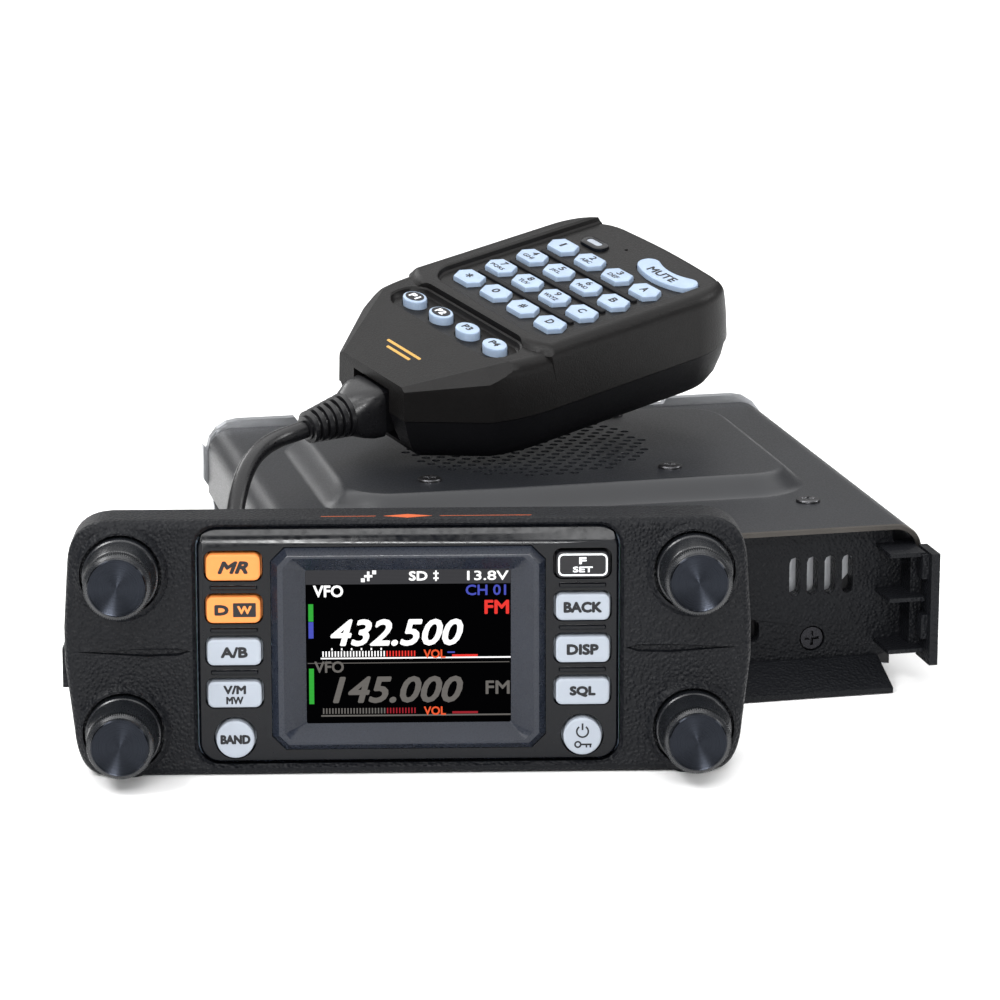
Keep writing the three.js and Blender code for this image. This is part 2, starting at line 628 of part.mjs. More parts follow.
function displayBezel() {
  const { width, height, centreZ, corner, frontY, backY } = INSET;
  const panel = facing(roundedRectangle(width - 2 * GAP, height - 2 * GAP, corner), frontY, backY)
    .translate([0, 0, centreZ]);
  const frameShape = roundedRectangle(FRAME.width, FRAME.height, 3);
  const frame = facingTapered(frameShape, FRAME.frontY, backY, 1.4, 1.4).translate([0, 0, FRAME.centreZ]);
  const mouth = new THREE.ExtrudeGeometry(roundedRectangle(GLASS.width, GLASS.height, 1), {
    depth: 0.4, bevelThickness: 3.4, bevelSize: 2.8, bevelOffset: 0, bevelSegments: 1, curveSegments: 1,
  });
  const flare = solid(mouth.rotateX(Math.PI / 2)).translate([0, FRAME.frontY, GLASS.centreZ])
    .intersect(block(-40, FRAME.frontY - 1, 0, 40, 1.7, 60));
  const opening = facing(roundedRectangle(GLASS.width, GLASS.height, 1), -5, 5, 1)
    .translate([0, 0, GLASS.centreZ]);
  const [pocketX, pocketZ] = [GLASS.width / 2 + 1.4, GLASS.height / 2 + 1.4];
  const pocket = block(-pocketX, 1.6, -pocketZ, pocketX, 5, pocketZ).translate([0, 0, GLASS.centreZ]);
  const keyHoles = keyPlaces().map((place) => facing(keyShape(place, 0.35), -2, 5, keySegments(place))
    .translate([place.x, 0, place.z]));
  const ridge = block(-4.6, frontY - 0.5, -0.4, 4.6, frontY + 0.5, 0.4);
  const ridges = [];
  for (const x of [-KEY.x, KEY.x]) {
    for (let i = 0; i < 3; i += 1) ridges.push(ridge.translate([x, 0, KEY.topZ - (i + 0.5) * KEY.pitch]));
  }
  return without(joined([panel, frame, ...ridges]), [flare, opening, pocket, ...keyHoles]);
}
add(head, 'display_bezel', displayBezel(), BEZEL_PLASTIC());

const windowPlate = roundedRectangle(GLASS.width + 2, GLASS.height + 2, 0.8);
add(head, 'display_window', facing(windowPlate, 1.9, 3).translate([0, 0, GLASS.centreZ]), CLEAR_GLASS());
const lcdModule = block(-24.5, 3.6, GLASS.centreZ - 18.5, 24.5, 6.9, GLASS.centreZ + 18.5);
add(head, 'display_panel', lcdModule, DARK_KEY());

// A key: a cap through the bezel on a wider flange behind it.
function frontKey(place) {
  const cap = tapered(keyShape(place, 0), -4, 0.9, 0.35, 0.35, 1, keySegments(place)).rotate([90, 0, 0]);
  const flange = facing(keyShape(place, 0.75), 3.7, 4.7, keySegments(place));
  return cap.add(flange).translate([place.x, 0, place.z]);
}
function keyFinish(name) {
  if (name === 'key_memory' || name === 'key_watch') return ORANGE_KEY();
  return name === 'key_setup' ? DARK_KEY() : PALE_KEY();
}
for (const place of keyPlaces()) add(head, place.name, frontKey(place), keyFinish(place.name));

function keyMat() {
  const sheet = facing(roundedRectangle(86, 46, 2), 5.8, 6.9).translate([0, 0, 26]);
  return sheet.subtract(block(-25.5, 5, GLASS.centreZ - 19.5, 25.5, 8, GLASS.centreZ + 19.5));
}
add(head, 'key_mat', keyMat(), SILICONE());

// ---------------------------------------------------------------- head board, shafts, knobs
// The board carries four rotary controls. The lower two have fixed shafts; the upper two
// have shafts of their own, which can also be pressed.
function headBoard() {
  const board = facing(roundedRectangle(122, 45, 2), 7.3, 8.9).translate([0, 0, 26]);
  const pieces = [board];
  const bores = [];
  for (const { x, z, push } of knobPlaces()) {
    pieces.push(block(x - 5.5, 4.9, Math.max(z - 6, 4.6), x + 5.5, 8.9, z + 6));
    if (push) bores.push(barY(3.4, x, z, 0, 8, 12));
    else pieces.push(barY(3, x, z, -9, 7.5, 12));
  }
  return without(joined(pieces), bores);
}
add(head, 'head_board', headBoard(), CIRCUIT_BOARD());

const headSocket = modularSocket(13, 8.4, 8.5, 9.8, 5.8).rotate([0, 0, 180]);
add(head, 'head_jack', headSocket.translate([0, 17.8, 25.5]), BLACK_PLASTIC());
const cardFlap = block(-70.1, 2.9, 18.2, -67.2, 10.3, 26.3);
add(head, 'card_cover', cardFlap, RUBBER());

// A turned knob: a wide skirt, a waisted body, a knurled band and a flat bright face.
function knob({ x, z }) {
  const { skirt, face, length } = KNOB;
  const profile = [[0, -length], [face - 0.4, -length], [face, -length + 0.4], [6.5, -length + 1.3],
    [6.9, -8.9], [skirt, -2], [skirt, 1.9], [3.3, 1.9], [3.3, -9.4], [0, -9.4]];
  return turned(profile, 20).translate([x, 0, z]);
}
for (const place of knobPlaces()) {
  add(head, `knob_${place.name}`, knob(place), KNOB_METAL());
  if (place.push) add(head, `shaft_${place.name}`, barY(3, place.x, place.z, -9, 6.7, 12), BRIGHT_METAL());
}

// ================================================================ microphone
// Its own frame: origin at the middle of the number keys' tops, X from the cable end to the
// top end, +Z out of the keypad.
const mic = new THREE.Group();
mic.position.set(...MIC.position);
mic.rotation.set(MIC.roll, -MIC.pitch, MIC.heading, 'ZYX');

// The case's outline, `inset` inside the outer one: broad, with a round top end, and drawn in
// by two facets on each side towards the cable.
function micOutline(inset) {
  const { cableX, topX, halfWidth } = MIC;
  const [low, high, half] = [cableX + inset, topX - inset, halfWidth - inset];
  const shape = new THREE.Shape();
  shape.moveTo(low, -13 + inset / 2);
  shape.lineTo(-38, -(half - 3.2));
  shape.quadraticCurveTo(-31, -half, -22, -half);
  shape.lineTo(20, -half);
  shape.quadraticCurveTo(high - 1, -half + 1, high - 0.8, -half + 14);
  shape.quadraticCurveTo(high + 0.2, 0, high - 0.8, half - 14);
  shape.quadraticCurveTo(high - 1, half - 1, 20, half);
  shape.lineTo(-22, half);
  shape.quadraticCurveTo(-31, half, -38, half - 3.2);
  shape.lineTo(low, 13 - inset / 2);
  shape.closePath();
  return shape;
}

// A wedge off the face that slopes it down to the cable end.
function faceSlope(drop) {
  const cut = block(-90, -60, 0, 0, 60, 30);
  return cut.rotate([0, -14, 0]).translate([-37, 0, MIC.deckZ - 1 - drop]);
}

// A number key: a long hexagon across the face, grown by `extra`.
function hexagonKey(extra) {
  const [half, tip, side] = [2.75 + extra, 4.3 + extra, 2.7 + extra / 2];
  const shape = new THREE.Shape();
  shape.moveTo(half, side);
  shape.lineTo(0, tip);
  shape.lineTo(-half, side);
  shape.lineTo(-half, -side);
  shape.lineTo(0, -tip);
  shape.lineTo(half, -side);
  shape.closePath();
  return shape;
}
const keyColumns = [1.5, 0.5, -0.5, -1.5].map((step) => step * MIC.columnPitch);
const keyRows = [1.5, 0.5, -0.5, -1.5].map((step) => step * MIC.rowPitch);

function muteShape(extra) {
  return roundedRectangle(5.8 + 2 * extra, 20 + 2 * extra, 2.6 + extra);
}

function programShape(extra) {
  const shape = new THREE.Shape();
  shape.absellipse(0, 0, 2.5 + extra, 3.4 + extra, 0, 2 * Math.PI);
  return shape;
}

function micFrontCase() {
  const { seamZ, deckZ } = MIC;
  const outer = tapered(micOutline(0), seamZ, deckZ, 3, 3.6, 2, 4);
  const inner = tapered(micOutline(2), seamZ - 1, deckZ - 2.2, 3, 7.6, 1, 3);
  const holes = [];
  for (const x of keyRows) {
    for (const y of keyColumns) holes.push(raised(hexagonKey(0.3), -6, 2).translate([x, y, 0]));
  }
  for (const y of keyColumns) {
    holes.push(raised(programShape(0.3), -7, 2, 5).translate([PROGRAM_KEYS_X, y, 0]));
  }
  holes.push(raised(muteShape(0.3), -7, 2).translate([MUTE.x, MUTE.y, 0]));
  holes.push(block(PTT.x0 - 0.6, MIC.halfWidth - 6.5, PTT.z0 - 0.4, PTT.x1 + 0.6, MIC.halfWidth + 2,
    PTT.z1 + 0.4));
  holes.push(block(MIC.cableX - 1, -7, -30, MIC.cableX + 5, 7, -8.6));
  const shell = outer.subtract(faceSlope(0)).subtract(inner.subtract(faceSlope(2)));
  return without(shell, holes);
}
add(mic, 'mic_front_case', micFrontCase(), BLACK_PLASTIC());

function micBackCase() {
  const { seamZ, backZ } = MIC;
  const top = seamZ - GAP;
  const outer = tapered(micOutline(0.3), -top, -backZ, 5.5, 9, 2, 4).rotate([180, 0, 0]).mirror([0, 1, 0]);
  const inner = tapered(micOutline(2.4), -top - 1, -backZ - 2, 5, 8, 1, 3).rotate([180, 0, 0])
    .mirror([0, 1, 0]);
  const notch = block(MIC.cableX - 1, -7, -22.6, MIC.cableX + 5, 7, -8.6);
  return without(outer, [inner, notch]);
}
add(mic, 'mic_back_case', micBackCase(), BLACK_PLASTIC());

const micBoard = block(-34, -20, -9, 24, 20, -7.6);
add(mic, 'mic_board', micBoard, CIRCUIT_BOARD());

// A headed stud on the back, which hooks into a dashboard clip.
function hangerStud() {
  const profile = [[0, -26.8], [3.6, -26.8], [3.6, -29.6], [6.6, -30.2], [7, -31], [6.6, -31.6], [0, -31.6]];
  return turnedUpright(profile, 16).translate([18, 0, 0]);
}
add(mic, 'hanger_stud', hangerStud(), BRIGHT_METAL());

// The press-to-talk bar in the long side away from the front, with a ribbed grip.
function pushToTalk() {
  const { x0, x1, z0, z1 } = PTT;
  const face = MIC.halfWidth + 1;
  const bar = block(x0, face - 5.2, z0, x1, face, z1);
  const ribs = [];
  for (let x = 2; x < x1 - 3; x += 3) ribs.push(block(x, face - 0.2, z0 + 1, x + 1.2, face + 0.6, z1 - 1));
  return joined([bar, ...ribs]);
}
add(mic, 'ptt_bar', pushToTalk(), RUBBER());

// A strip of keys: caps standing on one web behind the face.
function keyStrip(x, columns, shape, top, web) {
  const caps = columns.map((y) => raised(shape, web.z0 + 0.2, top, 5).translate([x, y, 0]));
  const reach = Math.max(...columns) + 4;
  const strip = block(x - web.half, -reach, web.z0, x + web.half, reach, web.z1);
  return joined([strip, ...caps]);
}
keyRows.forEach((x, i) => {
  const web = { half: 3.3, z0: -4.7, z1: -3.5 };
  add(mic, `key_row_${i + 1}`, keyStrip(x, keyColumns, hexagonKey(0), 0, web), SILICONE());
});
const programWeb = { half: 3, z0: -5.6, z1: -4.4 };
const programStrip = keyStrip(PROGRAM_KEYS_X, keyColumns, programShape(0), -0.9, programWeb);
add(mic, 'program_keys', programStrip, SILICONE());

function muteKey() {
  const cap = raised(muteShape(0), -4.5, -0.1);
  const web = block(-3.3, -10, -4.7, 3.3, 10, -3.5);
  return cap.add(web).translate([MUTE.x, MUTE.y, 0]);
}
add(mic, 'mute_key', muteKey(), SILICONE());

// The cable's relief: a square collar held by the case, then a tapered boot with ribs.
function strainRelief() {
  const collar = block(-59.5, -6.4, -6.4, MIC.cableX - GAP, 6.4, 6.4);
  const shank = block(-54, -5, -5, -48.2, 5, 5);
  const profile = [[0, 59]];
  for (let i = 0; i < 4; i += 1) {
    const radius = 5.2 - 0.4 * i;
    const y = 59.4 + 2.9 * i;
    profile.push([radius, y], [radius - 0.2, y + 1.8], [radius - 1.1, y + 2], [radius - 1.1, y + 2.8]);
  }
  profile.push([3.2, -BOOT.tipX], [0, -BOOT.tipX]);
  const boot = turned(profile, 12).rotate([0, 0, 90]);
  return joined([collar, shank, boot]).translate([0, 0, BOOT.z]);
}
add(mic, 'mic_strain_relief', strainRelief(), RUBBER());

// ================================================================ microphone cord
const cord = new THREE.Group();

// From the boot, over the radio's left edge and down to the surface.
const MIC_TAIL = [
  [-56.6, 2.1, 49.2], [-59.6, 0.8, 48.7], [-62.8, -1.2, 48.3], [-66.4, -4.6, 47.6], [-69.8, -9, 46.3],
  [-72.8, -14, 43.9], [-75.3, -19.5, 40], [-77.3, -25, 34.8], [-79, -30.2, 28.6], [-80.6, -35, 21.8],
  [-82.4, -39.6, 15.2], [-84.8, -43.9, 9.4], [-88, -47.5, 5], [-92, -49.6, 2.8], [-96.2, -48.8, 2.2],
  [-98.8, -44.8, 2.15], [-99, -39.8, 2.12], [-98.4, -34.4, 2.1], [-98, -28.3, 2.1],
];

// From the coil's other end round the dock ear to the plug.
const PLUG_TAIL = [
  [-80, -28.3, 2.1], [-80, -34, 2.1], [-80.3, -41, 2.15], [-80.8, -48, 2.3], [-81, -55, 2.8],
  [-79.6, -62, 3.8], [-76, -67.6, 5.2], [-70.6, -71, 7], [-64.4, -72.2, 9], [-58.2, -71.4, 11.2],
  [-53.2, -68.2, 13], [-50.5, -65, 13.9], [-50, -61.8, 14],
];
const COIL = { outerX: -98, innerX: -80, frontY: -28, turnY: 60, z: CORD.coilDiameter / 2 + 0.1 };

function throughPoints(points) {
  return new THREE.CatmullRomCurve3(points.map((point) => new THREE.Vector3(...point)), false, 'centripetal');
}

// The coil's middle line: back along the outer lane, round, and forward along the inner one.
function coilLine() {
  const { outerX, innerX, frontY, turnY, z } = COIL;
  const radius = (innerX - outerX) / 2;
  const middle = (innerX + outerX) / 2;
  const points = [];
  for (let i = 0; i < 6; i += 1) points.push([outerX, frontY + ((turnY - frontY) * i) / 6, z]);
  for (let i = 0; i <= 8; i += 1) {
    const angle = Math.PI * (1 - i / 8);
    points.push([middle + radius * Math.cos(angle), turnY + radius * Math.sin(angle), z]);
  }
  for (let i = 5; i >= 0; i -= 1) points.push([innerX, frontY + ((turnY - frontY) * i) / 6, z]);
  return throughPoints(points);
}

add(cord, 'mic_cord_tail', along(throughPoints(MIC_TAIL), CORD.diameter, 8, 22), RUBBER());
add(cord, 'curly_cord', along(coilLine(), CORD.coilDiameter, 8, 24), RUBBER());
add(cord, 'plug_cord_tail', along(throughPoints(PLUG_TAIL), CORD.diameter, 8, 16), RUBBER());

// The modular plug: a clear-ended block with a latch, its mouth end in the socket.
function micPlug() {
  const body = block(-4.7, 1.6, -3.1, 4.7, 17, 3.1);
  const collar = block(-3.4, 0, -2.7, 3.4, 2, 2.7);
  const latch = block(-1.7, 2.4, 2.9, 1.7, 9, 4.2);
  return joined([body, collar, latch]).translate([MIC_PORT.x, -61.1, MIC_PORT.z]);
}
add(cord, 'mic_plug', micPlug(), BLACK_PLASTIC());

const transceiver = new THREE.Group();
transceiver.add(radio, head, mic, cord);
export default transceiver;
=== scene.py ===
"""The look of a mobile transceiver: radio unit, control head standing in front of it, and keypad
microphone on a curly cord. Pieces are built in millimetres in the frame of the unit they belong
to, and placed in the part's frame in metres."""
import math

import bmesh
import bpy
from mathutils import Matrix, Vector


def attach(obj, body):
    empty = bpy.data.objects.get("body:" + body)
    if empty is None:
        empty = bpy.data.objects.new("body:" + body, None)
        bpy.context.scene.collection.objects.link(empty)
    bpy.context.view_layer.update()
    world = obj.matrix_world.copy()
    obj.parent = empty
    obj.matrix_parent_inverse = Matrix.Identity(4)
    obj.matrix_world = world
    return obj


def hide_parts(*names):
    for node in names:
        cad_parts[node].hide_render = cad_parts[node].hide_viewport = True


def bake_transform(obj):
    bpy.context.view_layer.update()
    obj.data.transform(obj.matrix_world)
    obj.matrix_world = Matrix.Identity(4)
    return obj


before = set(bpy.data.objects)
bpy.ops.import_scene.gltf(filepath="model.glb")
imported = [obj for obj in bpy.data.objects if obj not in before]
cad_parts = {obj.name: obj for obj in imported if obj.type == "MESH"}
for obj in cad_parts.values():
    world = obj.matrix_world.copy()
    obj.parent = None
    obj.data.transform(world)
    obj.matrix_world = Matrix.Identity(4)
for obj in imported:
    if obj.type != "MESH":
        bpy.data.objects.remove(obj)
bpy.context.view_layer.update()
MM = 0.001


def place(position=(0, 0, 0), yaw=0.0, pitch=0.0, roll=0.0):
    """From a unit's own frame in millimetres to the part's frame in metres. Angles in degrees."""
    turn = Matrix.Rotation(math.radians(yaw), 4, "Z") @ Matrix.Rotation(math.radians(pitch), 4, "Y")
    turn = turn @ Matrix.Rotation(math.radians(roll), 4, "X")
    return Matrix.Scale(MM, 4) @ Matrix.Translation(position) @ turn


RADIO = place()
HEAD = place((-53.1, -98.05, 0), yaw=-11, roll=-3.5)
MIC = place((7.4, 25.6, 75.6), yaw=22.6, pitch=-9.1, roll=11.1)


# ================================================================ camera
def make_camera():
    data = bpy.data.cameras.new("camera")
    camera = bpy.data.objects.new("camera", data)
    bpy.context.scene.collection.objects.link(camera)
    camera.location = (-0.199198, -0.825176, 0.247705)
    aim = Vector((0.21436, 0.94467, -0.24827))
    camera.rotation_mode = "QUATERNION"
    camera.rotation_quaternion = aim.to_track_quat("-Z", "Y")
    data.angle = math.radians(14.872)
    data.clip_start = 0.05
    data.clip_end = 20
    bpy.context.scene.camera = camera


make_camera()


# ================================================================ outlines
def arc(cx, cy, radius, start, end, steps):
    """Points on a circle, from one angle to another in degrees, ends included."""
    angles = [math.radians(start + (end - start) * i / steps) for i in range(steps + 1)]
    return [(cx + radius * math.cos(a), cy + radius * math.sin(a)) for a in angles]


def bend(start, control, end, steps=6):
    """A quadratic curve, without its first point."""
    points = []
    for i in range(1, steps + 1):
        t = i / steps
        weights = (1 - t) ** 2, 2 * t * (1 - t), t * t
        ends = start, control, end
        points.append(tuple(sum(w * p[k] for w, p in zip(weights, ends)) for k in (0, 1)))
    return points


def rounded(width, height, radius, centre=(0, 0), steps=5):
    """A rectangle with round corners, counter-clockwise."""
    x, y = width / 2 - radius, height / 2 - radius
    corners = [(x, y, 0), (-x, y, 90), (-x, -y, 180), (x, -y, 270)]
    points = []
    for cx, cy, angle in corners:
        points += arc(cx + centre[0], cy + centre[1], radius, angle, angle + 90, steps)
    return points


def circle(radius, centre=(0, 0), steps=32):
    return arc(centre[0], centre[1], radius, 0, 360, steps)[:-1]


def ellipse(rx, ry, centre=(0, 0), steps=28):
    return [(centre[0] + rx * x, centre[1] + ry * y) for x, y in circle(1, steps=steps)]


def shrink(outline, distance):
    """A counter-clockwise outline moved inwards by distance, along the mitre of its corners."""
    points = []
    count = len(outline)
    for i in range(count):
        before, here, after = (Vector(outline[j % count]) for j in (i - 1, i, i + 1))
        a, b = (here - before).normalized(), (after - here).normalized()
        normals = Vector((-a.y, a.x)), Vector((-b.y, b.x))
        mitre = normals[0] + normals[1]
        scale = distance / max(0.4, 0.5 * mitre.length_squared)
        points.append((here.x + mitre.x * scale, here.y + mitre.y * scale))
    return points


def quarter(inset, lift, steps=4):
    """(inset, depth) pairs of a rounded edge, from the face inwards to the side."""
    angles = [math.pi / 2 * i / steps for i in range(steps + 1)]
    return [(inset * (1 - math.sin(a)), lift * (1 - math.cos(a))) for a in angles]


# ================================================================ solids
def loft(rings):
    """A closed body through rings of as many points each, capped at both ends."""
    body = bmesh.new()
    loops = [[body.verts.new(point) for point in ring] for ring in rings]
    for low, high in zip(loops, loops[1:]):
        for i in range(len(low)):
            j = (i + 1) % len(low)
            body.faces.new((low[i], low[j], high[j], high[i]))
    body.faces.new(loops[0])
    body.faces.new(loops[-1])
    bmesh.ops.recalc_face_normals(body, faces=body.faces)
    return body


def facing(outline, levels):
    """An outline in X and Z through (inset, y) levels."""
    return loft([[(x, y, z) for x, z in shrink(outline, inset)] for inset, y in levels])


def raised(outline, levels):
    """An outline in X and Y through (inset, z) levels."""
    return loft([[(x, y, z) for x, y in shrink(outline, inset)] for inset, z in levels])


def turned(profile, steps=48, ripple=None):
    """(radius, y) pairs turned about the Y axis. ripple(i, angle) adds to ring i's radius."""
    rings = []
    for i, (radius, y) in enumerate(profile):
        ring = []
        for k in range(steps):
            angle = 2 * math.pi * k / steps
            r = max(radius, 0.02) + (ripple(i, k) if ripple else 0)
            ring.append((r * math.cos(angle), y, r * math.sin(angle)))
        rings.append(ring)
    return loft(rings)


def block(x0, y0, z0, x1, y1, z1):
    return loft([[(x0, y0, z), (x1, y0, z), (x1, y1, z), (x0, y1, z)] for z in (z0, z1)])


def moved(body, offset=(0, 0, 0), turn=0.0, axis="Z"):
    """The body turned about an axis through the origin, in degrees, then moved."""
    matrix = Matrix.Translation(offset) @ Matrix.Rotation(math.radians(turn), 4, axis)
    bmesh.ops.transform(body, matrix=matrix, verts=body.verts)
    return body


def beyond(point, normal, size=90):
    """Everything on the far side of a plane."""
    body = block(-size, -size, 0, size, size, size)
    turn = Vector(normal).to_track_quat("Z", "Y").to_matrix().to_4x4()
    bmesh.ops.transform(body, matrix=Matrix.Translation(point) @ turn, verts=body.verts)
    return body


def together(bodies):
    """Several bodies that don't touch, as one."""
    whole = bmesh.new()
    for body in bodies:
        mesh = bpy.data.meshes.new("part")
        body.to_mesh(mesh)
        whole.from_mesh(mesh)
        body.free()
        bpy.data.meshes.remove(mesh)
    return whole


def as_object(body):
    mesh = bpy.data.meshes.new("work")
    body.to_mesh(mesh)
    body.free()
    work = bpy.data.objects.new("work", mesh)
    bpy.context.scene.collection.objects.link(work)
    return work


def combined(body, other, operation):
    """The union, difference or intersection of two bodies."""
    work, tool = as_object(body), as_object(other)
    modifier = work.modifiers.new("work", "BOOLEAN")
    modifier.operation = operation
    modifier.solver = "MANIFOLD"
    modifier.object = tool
    result = bmesh.new()
    result.from_object(work, bpy.context.evaluated_depsgraph_get())
    for item in (work, tool):
        mesh = item.data
        bpy.data.objects.remove(item)
        bpy.data.meshes.remove(mesh)
    return result


def cut(body, *tools):
    for tool in tools:
        body = combined(body, tool, "DIFFERENCE")
    return body


def fused(body, *others):
    for other in others:
        body = combined(body, other, "UNION")
    return body


def smooth(mesh, angle=32.0):
    """Smooth shading, with every edge sharper than angle kept sharp."""
    body = bmesh.new()
    body.from_mesh(mesh)
    for face in body.faces:
        face.smooth = True
    for edge in body.edges:
        edge.smooth = len(edge.link_faces) == 2 and edge.calc_face_angle(0) < math.radians(angle)
    body.to_mesh(mesh)
    body.free()


def piece(name, body, unit, rides, material, stands_for=(), angle=32.0, centre=None):
    """Makes a named object of a body in a unit's frame. With centre, the object's own origin is
    that point of the unit, and its own Z is the unit's outward Y, for a turned finish."""
    own = unit
    if centre is not None:
        facing_out = Matrix.Rotation(math.radians(90), 4, "X")
        own = unit @ Matrix.Translation(centre) @ facing_out
    where = own.copy()
    for column in range(3):
        axis = own.col[column].to_3d().normalized()
        for row in range(3):
            where[row][column] = axis[row]
    if centre is None:
        where = Matrix.Identity(4)
    bmesh.ops.transform(body, matrix=where.inverted() @ unit, verts=body.verts)
    mesh = bpy.data.meshes.new(name)
    body.to_mesh(mesh)
    body.free()
    smooth(mesh, angle)
    made = bpy.data.objects.new(name, mesh)
    bpy.context.scene.collection.objects.link(made)
    made.matrix_world = where
    made.modifiers.new("normals", "WEIGHTED_NORMAL").keep_sharp = True
    mesh.materials.append(material)
    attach(made, rides)
    if stands_for:
        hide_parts(*stands_for)
    return made


# ================================================================ materials
class Nodes:
    """A material's node tree, with short ways to add and join nodes."""

    def __init__(self, name):
        self.material = bpy.data.materials.new(name)
        self.material.use_nodes = True
        self.tree = self.material.node_tree
        self.shader = self.tree.nodes["Principled BSDF"]
        self.place = self.tree.nodes.new("ShaderNodeTexCoord").outputs["Object"]

    def add(self, kind, **values):
        node = self.tree.nodes.new(kind)
        for key, value in values.items():
            if key in node.inputs:
                node.inputs[key].default_value = value
            else:
                setattr(node, key, value)
        return node

    def join(self, source, target):
        self.tree.links.new(source, target)

    def drive(self, name, source):
        """Joins a source to one of the shader's own inputs."""
        self.join(source, self.shader.inputs[name])

    def set(self, **values):
        for key, value in values.items():
            self.shader.inputs[key.replace("_", " ")].default_value = value

    def noise(self, size, detail=2.0):
        """Noise whose features are about size millimetres across."""
        node = self.add("ShaderNodeTexNoise", Scale=1 / (size * MM), Detail=detail, Roughness=0.6)
        self.join(self.place, node.inputs["Vector"])
        return node.outputs["Fac"]

    def between(self, factor, low, high, start=0.3, end=0.7):
        """A colour or a grey that runs from low to high as factor runs from start to end."""
        ramp = self.add("ShaderNodeValToRGB")
        for element, position, value in zip(ramp.color_ramp.elements, (start, end), (low, high)):
            element.position = position
            element.color = (*value, 1) if hasattr(value, "__len__") else (value, value, value, 1)
        self.join(factor, ramp.inputs["Fac"])
        return ramp.outputs["Color"]

    def bump(self, height, distance, strength=1.0, after=None):
        """A bump of distance millimetres, on top of an earlier one if given."""
        node = self.add("ShaderNodeBump", Strength=strength, Distance=distance * MM)
        self.join(height, node.inputs["Height"])
        if after is not None:
            self.join(after, node.inputs["Normal"])
        return node.outputs["Normal"]


LEATHER_CELL = 0.7


def tint(color, factor):
    return tuple(min(1.0, channel * factor) for channel in color)


def moulded(name, color, roughness=0.5, grain=0.45, depth=0.06, metallic=0.0, spread=0.12, gloss=0.3,
            leather=0.0):
    """A plastic, rubber or paint with a fine even grain and slightly uneven colour and roughness.
    gloss is the strength of its reflection, and leather the depth of a coarser grain of cells."""
    nodes = Nodes(name)
    cloud = nodes.noise(14, 3)
    fine = nodes.noise(grain, 3)
    nodes.drive("Base Color", nodes.between(cloud, tint(color, 1 - spread), tint(color, 1 + spread)))
    nodes.drive("Roughness", nodes.between(fine, max(0.02, roughness - 0.08), min(1.0, roughness + 0.08)))
    surface = nodes.bump(fine, depth)
    if leather:
        cells = nodes.add("ShaderNodeTexVoronoi", feature="SMOOTH_F1", Scale=1 / (LEATHER_CELL * MM),
                          Smoothness=0.5)
        nodes.join(nodes.place, cells.inputs["Vector"])
        height = nodes.between(cells.outputs["Distance"], 1.0, 0.0, 0.1, 0.7)
        surface = nodes.bump(height, leather, after=surface)
    nodes.drive("Normal", surface)
    nodes.set(Metallic=metallic, Specular_IOR_Level=gloss)
    return nodes.material


def translucent(name, color):
    """Milky silicone, lit a little from inside."""
    nodes = Nodes(name)
    cloud = nodes.noise(4, 2)
    fine = nodes.noise(0.3, 2)
    nodes.drive("Base Color", nodes.between(cloud, tint(color, 0.93), tint(color, 1.06)))
    nodes.drive("Roughness", nodes.between(fine, 0.35, 0.5))
    nodes.drive("Normal", nodes.bump(fine, 0.01))
    nodes.set(Subsurface_Weight=0.35, Subsurface_Scale=0.0015, Subsurface_Radius=(0.7, 0.85, 1.0))
    return nodes.material


def brushed(name, color, roughness=0.3, scratch=0.25):
    """Metal with fine uneven scratches."""
    nodes = Nodes(name)
    cloud = nodes.noise(8, 3)
    fine = nodes.noise(scratch, 4)
    nodes.drive("Base Color", nodes.between(cloud, tint(color, 0.9), tint(color, 1.05)))
    nodes.drive("Roughness", nodes.between(fine, roughness - 0.08, roughness + 0.1))
    nodes.drive("Normal", nodes.bump(fine, 0.01))
    nodes.set(Metallic=1.0)
    return nodes.material


def spun(name, color, roughness):
    """Metal turned on a lathe: rings about the piece's own Z axis, which stretch its highlights."""
    nodes = Nodes(name)
    flat = nodes.add("ShaderNodeVectorMath", operation="MULTIPLY")
    flat.inputs[1].default_value = (1, 1, 0)
    nodes.join(nodes.place, flat.inputs[0])
    length = nodes.add("ShaderNodeVectorMath", operation="LENGTH")
    nodes.join(flat.outputs[0], length.inputs[0])
    rings = nodes.add("ShaderNodeTexNoise", noise_dimensions="1D", Scale=1 / (0.16 * MM), Detail=2.0)
    nodes.join(length.outputs["Value"], rings.inputs["W"])
    nodes.drive("Base Color", nodes.between(rings.outputs["Fac"], tint(color, 0.85), tint(color, 1.15)))
    nodes.drive("Roughness", nodes.between(rings.outputs["Fac"], roughness - 0.04, roughness + 0.04))
    nodes.drive("Normal", nodes.bump(rings.outputs["Fac"], 0.002))
    around = nodes.add("ShaderNodeTangent", direction_type="RADIAL", axis="Z")
    nodes.drive("Tangent", around.outputs["Tangent"])
    nodes.set(Metallic=1.0, Anisotropic=0.9, Anisotropic_Rotation=0.25)
    return nodes.material


def lit(name, color, strength=1.0):
    """A lit part of the display, crossed by the fine lines of its picture elements."""
    nodes = Nodes(name)
    lines = nodes.add("ShaderNodeTexWave", bands_direction="Z", Scale=1 / (0.9 * MM), Distortion=0.0)
    nodes.join(nodes.place, lines.inputs["Vector"])
    nodes.drive("Emission Color", nodes.between(lines.outputs["Fac"], tint(color, 0.8), color, 0.0, 0.6))
    nodes.set(Emission_Strength=strength, Roughness=0.6, Base_Color=(0, 0, 0, 1), Specular_IOR_Level=0.0)
    return nodes.material


